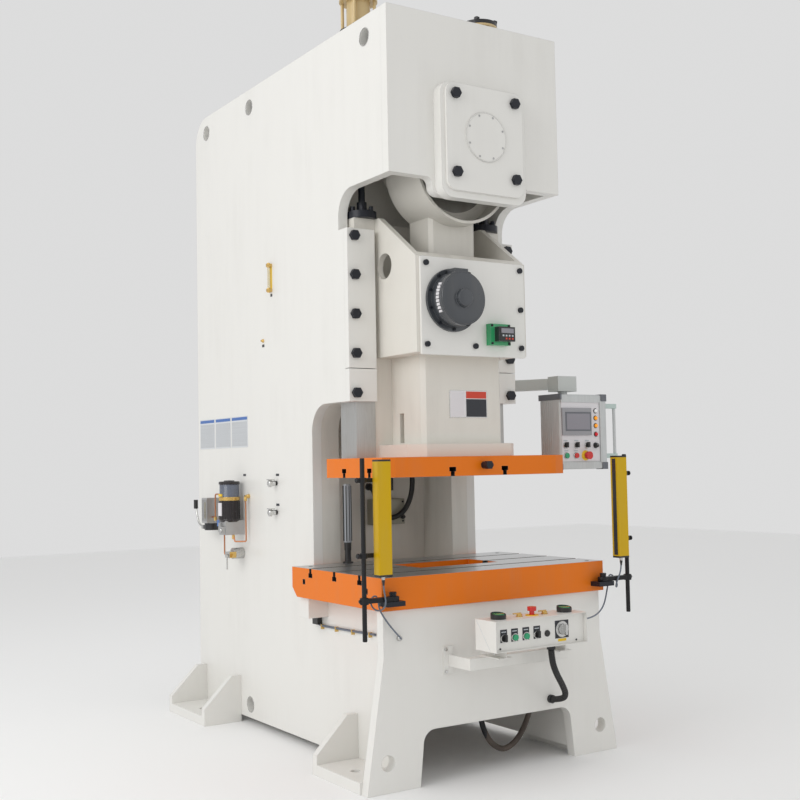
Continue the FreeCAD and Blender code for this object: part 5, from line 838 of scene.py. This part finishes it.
def makeSlideDetails():
    x, z = dial["x"], dial["z"]
    bm = bmesh.new()
    for index in range(10):
        angle = math.radians(36 * index + 18)
        capScrew(bm, "Y", (x + 134 * math.cos(angle), dial["flangeFace"], z + 134 * math.sin(angle)), 7.5, 7,
            -1)
    newPiece("dial_screws", bm, "black", "slide")
    turned("dial_dome", "Y", (x, dial["face"], z), [(0.5, 119), (-2.5, 117), (-3.5, 113), (-3.5, 46),
        (-5, 43.5), (-21, 40), (-24, 37), (-25, 32), (-25, 0)], "slate", "slide", 64,
        smooth=25)
    turned("dial_spot", "Y", (x + 4, dial["face"], z + 88), [(1, 14), (-1, 14), (-2.4, 13), (-2.6, 0)],
        "yellowFilm", "slide", 28)
    rim = [(dial["flangeFace"] - dial["face"] - 40, 124), (dial["flangeFace"] - dial["face"] - 38, 126),
        (dial["flangeFace"] - dial["face"] - 24, 126), (dial["flangeFace"] - dial["face"] - 22, 124)]
    turned("dial_band", "Y", (x, dial["face"], z), rim, "slate", "slide", 64)
    window = []
    for step in range(9):
        angle = math.radians(150 + 7.5 * step)
        cx, cz = x + 122.5 * math.cos(angle), z + 122.5 * math.sin(angle)
        window.append(((cx - 4, 66, cz - 6), (cx + 3, 88, cz + 6)))
    slabs("dial_scale", window, "panelWhite", "slide", 0.8)
    turned("dial_gland", "X", (x + 38, 90, z + 124), [(0, 9), (12, 9), (13, 7), (26, 6), (34, 4)],
        "blackPlastic", "slide", 20)
    slab("dial_plug_lid", (x - 36, 60.5, z + 118), (x + 36, 70, z + 137), "slate", "slide", 3)
    bm = bmesh.new()
    for cx in (-50, 50):
        for cz in (-42, 42):
            capScrew(bm, "Y", (124 + cx, 107, 1976 + cz), 6, 5, -1)
    newPiece("counter_screws", bm, "black", "slide")
    slab("counter_bezel", (92, 69, 1944), (180, 73, 2008), "blackPlastic", "slide", 2)
    slab("counter_glass", (100, 68.2, 1980), (172, 70, 2002), "screen", "slide", 0.6)
    keys = [((124 + 18 * i, 67.4, 1950), (133 + 18 * i, 70, 1958)) for i in range(3)]
    slabs("counter_keys", keys, "redFilm", "slide", 1)
    keys = [((106 + 18 * i, 67.4, 1964), (115 + 18 * i, 70, 1972)) for i in range(4)]
    slabs("counter_keys_dark", keys, "greyFilm", "slide", 1)
    slab("slide_tag", (-82, 240.6, 1592), (136, 243.4, 1720), "chrome", "slide", 0.6)
    slab("slide_tag_pale", (-78, 239.8, 1596), (10, 242, 1716), "panelWhite", "slide", 0.4)
    slab("slide_tag_dark", (14, 239.8, 1596), (132, 242, 1680), "darkFilm", "slide", 0.4)
    slab("slide_tag_red", (14, 239.8, 1683), (132, 242, 1716), "redFilm", "slide", 0.4)
    print("slide details are made")


console = {"mid": -5, "top": 716, "palm": 183, "y": -230, "panel": -278, "row": 640, "pushes": (-141, -80),
    "selectors": (-199, -20), "cam": (120, 651), "guardProud": 1, "guardSlope": 0.14}


def makeConsoleDetails():
    top = console["top"]
    lip = 1000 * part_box("palm_button_left")[1][2] - top + console["guardProud"]
    for side, sign in (("left", -1), ("right", 1)):
        x = console["mid"] + sign * console["palm"]
        guard = turned("palm_guard_" + side, "Z", (x, console["y"], top), [(0, 33), (lip - 6, 34), (lip - 1,
            33), (lip, 31), (lip - 1, 29.5), (6, 28), (0, 28)], "blackPlastic", "frame", 48, True)
        middle = at(x, console["y"], top)
        for vertex in guard.data.vertices:
            if vertex.co.z > middle.z + 0.012:  # the rim is lower towards the operator
                vertex.co.z += console["guardSlope"] * (vertex.co.y - middle.y)
    turned("stop_base", "Z", (console["mid"], console["y"], top), [(0, 30), (2, 30), (3, 28.5), (3, 15),
        (0, 15)], "yellowPlastic", "frame", 40, True)
    bm = bmesh.new()
    for sign in (-1, 1):
        x = console["mid"] + sign * 70
        addTurned(bm, "Z", (x, console["y"], top), [(0, 15), (3, 15), (4, 12.5), (10, 12.5), (12, 11)], 32)
        addSlab(bm, (x - 34, console["y"] - 3, top + 12), (x + 9, console["y"] + 3, top + 17))
    newPiece("console_keys", bm, "brass", "frame", round=0.0008)
    panel = console["panel"]
    row = console["row"]
    bm = bmesh.new()
    for x in console["pushes"] + console["selectors"]:
        addTurned(bm, "Y", (x, panel, row), [(0, 18), (-5, 18), (-7, 17), (-7, 13.6), (0, 13.6)], 36, True)
    newPiece("console_bezels", bm, "chrome", "frame")
    plates = [((x - 18, panel - 1.0, row - 17), (x + 18, panel + 0.4,
        row + 37)) for x in console["pushes"] + console["selectors"]]
    slabs("console_plates", plates, "darkFilm", "frame", 0.4)
    tags = [((x - 12, panel - 1.6, row + 25), (x + 12, panel - 0.6,
        row + 29)) for x in console["pushes"] + console["selectors"]]
    slabs("console_tags", tags, "greyFilm", "frame", 0.3)
    camX, camZ = console["cam"]
    slab("cam_plate", (camX - 38, panel - 1.2, camZ - 38), (camX + 38, panel + 0.4, camZ + 38), "darkFilm",
        "frame", 0.5)
    turned("cam_bezel", "Y", (camX, panel, camZ), [(0, 35), (-4, 35), (-6, 33), (-6, 23), (0, 23)], "chrome",
        "frame", 48, True)
    turned("plug_button", "Y", (37, panel, row), [(0, 14), (-4, 14), (-7, 12), (-8, 0)], "blackPlastic",
        "frame", 32)
    slab("console_note", (98, panel - 0.8, 599), (144, panel + 0.4, 610), "yellowFilm", "frame", 0.3)
    bm = bmesh.new()
    for x in (-219, 201):
        capScrew(bm, "Y", (x, panel, 598), 4, 3, -1)
    newPiece("console_screws", bm, "black", "frame")
    # A thin grey line painted diagonally across the box's left side along the hood plate's fold, as painted
    # shade where the plates meet.
    edge = 1000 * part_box("console_box")[0][0]
    bm = bmesh.new()
    addTube(bm, [at(edge, -166, 708), at(edge, -258, 590)], [0.0008, 0.0008], 6)
    newPiece("console_fold_shade_line", bm, "greyFilm", "frame")
    bm = bmesh.new()
    for x in (-190, -140, 140, 190):
        hexHead(bm, "Z", (x, -200, 583), 8, 8, -1)
        addTurned(bm, "Z", (x, -200, 575), [(0, 4), (-14, 4), (-15, 3)], 14)
    newPiece("bracket_bolts", bm, "chrome", "frame")
    bm = bmesh.new()
    for x in (-296, 272):
        for z in (474, 570):
            hexHead(bm, "Y", (x, 9, z), 8, 7, -1)
    newPiece("bracket_wall_bolts", bm, "chrome", "frame")
    print("console details are made")


pendant = {"left": 642, "right": 948, "front": 300, "rear": 460, "bottom": 1337, "top": 1717,
    "lamps": (("white", 1634), ("amber", 1597), ("amber", 1558), ("red", 1514)), "lampX": 878,
    "knobs": ((672, 1457), (744, 1457), (816, 1457)), "pushes": ((676, 1406), (740, 1406)),
    "stop": (804, 1406), "speed": (874, 1457)}


def makePendantDetails():
    left, right, front, rear = pendant["left"], pendant["right"], pendant["front"], pendant["rear"]
    bottom, top = pendant["bottom"], pendant["top"]
    slab("pendant_face", (left + 8, front - 1.2, bottom + 40), (right - 44, front + 2, top - 40),
        "panelWhite", "pendant", 0.6)
    slabs("pendant_edge", [((right - 42, front - 7, bottom + 30), (right - 2, front + 4, top - 30)),
        ((left + 4, front - 5, top - 40), (right - 32, front + 4, top - 4)), ((left + 4, front - 5,
        bottom + 2), (right - 32, front + 4, bottom + 36))], "alloy", "pendant", 3)
    blocks = [((right - 34, front - 9, z), (right + 3, front + 40, z + 36)) for z in (bottom - 3, top - 33)]
    blocks += [((left - 3, front - 7, z), (left + 7, rear + 3, z + 30)) for z in (bottom - 3, top - 27)]
    slabs("pendant_corners", blocks, "corner", "pendant", 5)
    ribs = [((left - 1.6, front + 14 + 16 * i, bottom + 30), (left + 1, front + 22 + 16 * i,
        top - 30)) for i in range(3, 9)]
    ribs += [((right - 1, front + 44 + 16 * i, bottom + 36), (right + 1.6, front + 52 + 16 * i,
        top - 36)) for i in range(7)]
    slabs("pendant_ribs", ribs, "alloy", "pendant", 0.8)
    slab("screen_surround", (650, front - 8, 1509), (846, front, 1648), "screenFrame", "pendant", 2)
    slab("screen_lip", (670, front - 9.5, 1531), (841, front - 6, 1627), "corner", "pendant", 1)
    slab("screen_glass", (678, front - 10.2, 1538), (833, front - 7, 1619), "screen", "pendant", 0.5)
    for index, (colour, z) in enumerate(pendant["lamps"]):
        turned("pendant_lamp_ring_%d" % index, "Y", (pendant["lampX"], front, z), [(0, 13), (-3, 13),
            (-4, 11.5), (-4, 9.6), (0, 9.6)], "blackPlastic", "pendant", 28, True)
        turned("pendant_lamp_%d" % index, "Y", (pendant["lampX"], front, z), [(0, 9.4), (-8, 9.4), (-12, 7),
            (-13.5, 0)], colour + "Lamp", "pendant", 28)
    bm = bmesh.new()
    for spots, inner in ((pendant["knobs"], 11), (pendant["pushes"], 13.4)):
        for x, z in spots:
            addTurned(bm, "Y", (x, front, z), [(0, 17), (-6, 17), (-7.5, 16), (-7.5, inner), (0, inner)], 30,
                True)
    newPiece("pendant_bezels", bm, "chrome", "pendant")
    stopX, stopZ = pendant["stop"]
    turned("pendant_stop_ring", "Y", (stopX, front, stopZ), [(0, 26), (-3, 26), (-10, 17), (-10, 13),
        (0, 13)], "yellowPlastic", "pendant", 40, True)
    dialX, dialZ = pendant["speed"]
    turned("pendant_dial", "Y", (dialX, front, dialZ), [(0, 15), (-4, 15), (-5, 12), (-18, 11), (-20, 9)],
        "blackPlastic", "pendant", 24)
    slab("pendant_dial_mark", (dialX - 1, front - 21, dialZ), (dialX + 1, front - 19, dialZ + 10),
        "panelWhite", "pendant", 0.3)
    tags = [((x - 13, front - 2, z + 22), (x + 13, front, z + 28)) for x,
        z in pendant["knobs"] + pendant["pushes"]]
    slabs("pendant_tags", tags, "greyFilm", "pendant", 0.2)
    print("pendant details are made")


wallPlate = {"from": 1560, "to": 2200, "low": 1487, "high": 1658, "panels": 3, "gap": 12, "header": 16}


def makeWallDetails():
    x = wall * 1000
    gaps = wallPlate["gap"] * (wallPlate["panels"] - 1)
    width = (wallPlate["to"] - wallPlate["from"] - gaps) / wallPlate["panels"]
    for index in range(wallPlate["panels"]):
        y = wallPlate["from"] + index * (width + wallPlate["gap"])
        slab("chart_%d" % index, (x - 1.4, y, wallPlate["low"]), (x + 0.5, y + width, wallPlate["high"]),
            "chartFilm", "frame", 0.3)
        slab("chart_head_%d" % index, (x - 2.2, y + 5, wallPlate["high"] - wallPlate["header"] - 5), (x,
            y + width - 5, wallPlate["high"] - 5), "blueFilm", "frame", 0.2)
        slab("chart_lines_%d" % index, (x - 2.2, y + 8, wallPlate["low"] + 8), (x, y + width - 8,
            wallPlate["high"] - wallPlate["header"] - 14), "lineFilm", "frame", 0.2)
    bm = bmesh.new()
    for z in (2292, 2424):
        addSlab(bm, (x - 26, 1244, z), (x, 1264, z + 16))
        addTurned(bm, "Z", (x - 16, 1254, z - 4), [(0, 9), (24, 9)], 6)
    newPiece("level_ends", bm, "brass", "frame")
    turned("level_tube", "Z", (x - 16, 1254, 2306), [(0, 6), (120, 6)], "glassTube", "frame", 24)
    slab("level_back", (x - 5, 1247, 2308), (x, 1261, 2424), "yellowFilm", "frame", 0.5)
    tags = [((x - 1.2, 1196, z), (x, 1230, z + 12)) for z in (1330, 1176)]
    tags += [((x - 1.2, 1590, 1330), (x, 1622, 1342)), ((x - 1.2, 1760, 1262), (x, 1790, 1274)), ((x - 1.2,
        1246, 2268), (x, 1266, 2282)), ((x - 1.2, 1346, 2012), (x, 1370, 2026))]
    slabs("wall_tags", tags, "darkFilm", "frame", 0.3)
    turned("wall_nipple", "X", (x, 1357, 2045), [(0, 9), (-6, 9), (-8, 6), (-14, 5), (-15, 0)], "brass",
        "frame", 20)
    for index, z in enumerate((1293, 1143)):
        bm = bmesh.new()
        addTurned(bm, "X", (x - 12, 1225, z), [(0, 15), (-9, 15), (-11, 13), (-20, 16), (-34, 16), (-37, 13)],
            24)
        addTurned(bm, "Z", (x - 38, 1225, z - 20), [(0, 8), (3, 10), (34, 10), (38, 8)], 20)
        addSlab(bm, (x - 54, 1200, z + 17), (x - 24, 1232, z + 22))
        newPiece("air_cock_%d" % index, bm, "chrome", "frame", round=0.0015)
    for index, (y, z) in enumerate(((282, 3340), (1497, 3340), (2071, 3340), (1564, 109))):
        turned("hole_lip_%d" % index, "X", (x, y, z), [(0, 43), (-2.2, 42), (-2.2, 40.5), (0, 40)], "chrome",
            "frame", 48, True)
    print("wall details are made")


pump = {"x": -560, "y": 1655}


def makePumpDetails():
    x, y = pump["x"], pump["y"]
    turned("tank_shell", "Z", (x, y, 1219), [(0, 54), (3, 54), (5, 53), (66, 53), (68, 52.6)], "tank",
        "frame", 56)
    turned("tank_lid", "Z", (x, y, 1286), [(0, 54), (2, 57), (14, 57), (17, 54), (18, 30), (22, 28), (24, 0)],
        "pumpBlack", "frame", 56)
    turned("tank_band_rim", "Z", (x, y, 1199), [(0, 56), (2, 58), (18, 58), (20, 56)], "brass", "frame", 56)
    ribs = bmesh.new()
    for index in range(18):
        angle = 2 * math.pi * index / 18
        spot = (x + 56.4 * math.cos(angle), y + 56.4 * math.sin(angle), 1100)
        addTurned(ribs, "Z", spot, [(0, 1.8), (94, 1.8)], 8)
    newPiece("can_ribs", ribs, "pumpBlack", "frame")
    turned("can_foot", "Z", (x, y, 1084), [(0, 48), (8, 57), (14, 57.5), (16, 56.5)], "pumpBlack", "frame",
        56)
    slab("pump_tag", (x - 58.5, y - 22, 1118), (x - 54, y + 18, 1188), "panelWhite", "frame", 0.6)
    slab("tank_tag", (x - 55, y - 20, 1222), (x - 50, y + 20, 1236), "yellowFilm", "frame", 0.6)
    bm = bmesh.new()
    for spot in ((-575, 1690, 1070), (-560, 1607, 1012), (-560, 1841, 1104)):
        addTurned(bm, "Z", (spot[0], spot[1], spot[2] - 20), [(0, 8), (2, 9), (20, 9), (22, 7)], 6)
    addTurned(bm, "X", (wall * 1000, 1552, 1222), [(0, 12), (-12, 12), (-14, 9), (-26, 8)], 6)
    addTurned(bm, "Z", (-512, 1552, 1196), [(0, 7), (2, 9), (22, 9), (24, 8)], 6)
    newPiece("pipe_nuts", bm, "brass", "frame")
    slabs("pump_valve", [((-618, 1618, 1022), (-600, 1650, 1060)), ((-612, 1660, 1030), (-600, 1688, 1080))],
        "castAlloy", "frame", 3)
    turned("pump_gauge", "X", (-617, 1634, 1041), [(0, 12), (-8, 12), (-10, 10), (-10, 0)], "chrome", "frame",
        28)
    slab("pump_label", (-604, 1694, 1060), (-598, 1722, 1094), "blueFilm", "frame", 0.6)
    fins = [((-594.5, 1890 + 14 * i, 1082), (-590, 1896 + 14 * i, 1200)) for i in range(5)]
    slabs("hand_pump_fins", fins, "castAlloy", "frame", 1)
    slab("hand_pump_window", (-596, 1898, 1096), (-590, 1912, 1186), "glassTube", "frame", 2)
    print("lubrication details are made")


conduit = [(-505, 802, 640), (-500, 796, 626), (-499, 765, 614), (-499, 700, 614.5), (-499, 610, 616),
    (-499, 459, 619), (-499, 307, 623), (-499, 262, 624)]


def makeThroatDetails():
    bm = bmesh.new()
    addTurned(bm, "Z", (-330, 780, 1000), [(0, 18), (4, 20), (280, 20), (286, 17)], 8)
    newPiece("work_lamp", bm, "lampTube", "frame", smooth=20)
    strips = bmesh.new()
    for index in range(8):
        angle = 2 * math.pi * index / 8
        addTurned(strips, "Z", (-330 + 20.5 * math.cos(angle), 780 + 20.5 * math.sin(angle), 1008), [(0, 2.2),
            (270, 2.2)], 8)
    newPiece("work_lamp_edges", strips, "blackPlastic", "frame")
    turned("work_lamp_neck", "Z", (-330, 780, 900), [(0, 26), (6, 26), (8, 16), (60, 15), (64, 17),
        (100, 18)], "blackPlastic", "frame", 32)
    slab("throat_box", (-20, 1040, 1062), (176, 1099, 1196), "boxGrey", "frame", 5)
    slab("throat_box_lid", (-14, 1034, 1068), (170, 1041, 1190), "boxGrey", "frame", 2)
    bm = bmesh.new()
    for cx in (-4, 160):
        for cz in (1078, 1180):
            capScrew(bm, "Y", (cx, 1034, cz), 5, 4, -1)
    newPiece("throat_box_screws", bm, "black", "frame")
    turned("throat_box_gland", "Y", (156, 1034, 1100), [(0, 12), (-10, 12), (-12, 9), (-22, 8)],
        "blackPlastic", "frame", 24)
    slab("throat_socket", (40, 1060, 1240), (120, 1099, 1330), "blackPlastic", "frame", 4)
    print("throat details are made")


def makeBedDetails():
    x = wall * 1000
    slab("bed_box", (x - 26, 762, 618), (x, 812, 656), "blackPlastic", "frame", 3)
    line = evenLine(splineLine("conduit", conduit), 0.006)
    bm = bmesh.new()
    addTube(bm, line, [0.0055] * len(line), 14)
    newPiece("bed_conduit", bm, "cable", "frame", smooth=60)
    bm = bmesh.new()
    for y, z in ((745, 614), (610, 616), (459, 619), (307, 623)):
        addSlab(bm, (x - 16, y - 4, z - 16), (x, y + 4, z + 7))
    newPiece("conduit_clips", bm, "brass", "frame", round=0.001)
    bm = bmesh.new()
    for sign in (-1, 1):
        for y in (40, 740):
            capScrew(bm, "Z", (sign * 560, y, 900), 11, 0.8, 1)
    newPiece("bolster_bolts", bm, "black", "frame")
    turned("cable_dome", "Y", (-532, 9, 640), [(9, 12), (0, 12), (-6, 9), (-9, 4), (-9, 0)], "chrome",
        "frame", 28)
    print("bed details are made")


def makeHeadDetails():
    bm = bmesh.new()
    for index in range(8):
        angle = math.radians(45 * index + 22)
        capScrew(bm, "Y", (102 * math.cos(angle), 19, 2876 + 102 * math.sin(angle)), 5, 2, -1)
    newPiece("cover_screws", bm, "castAlloy", "frame")
    turned("cover_rim", "Y", (0, 19, 2876), [(0, 116), (-1.5, 115), (-1.5, 112), (0, 111)], "cream", "frame",
        64, True)
    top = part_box("side_plate_left")[1][2] * 1000
    bm = bmesh.new()
    for sign in (-1, 1):
        x = sign * 365
        addTurned(bm, "Z", (x, 300, top), [(0, 26), (6, 26), (8, 18), (40, 17), (44, 22), (60, 22), (64, 16)],
            24)
        addTurned(bm, "X", (x, 300, top + 34), [(0, 11), (sign * -60, 11), (sign * -62, 8)], 16)
    newPiece("air_inlets", bm, "castAlloy", "frame")
    print("head details are made")


makeCamera()
makeStudio()
makeHoses()
makeCables()
finishNodes()
for side in ("left", "right"):
    makeCurtain(side)
print("curtains are made")
makeSlideDetails()
makeConsoleDetails()
makePendantDetails()
makeWallDetails()
makePumpDetails()
makeThroatDetails()
makeBedDetails()
makeHeadDetails()
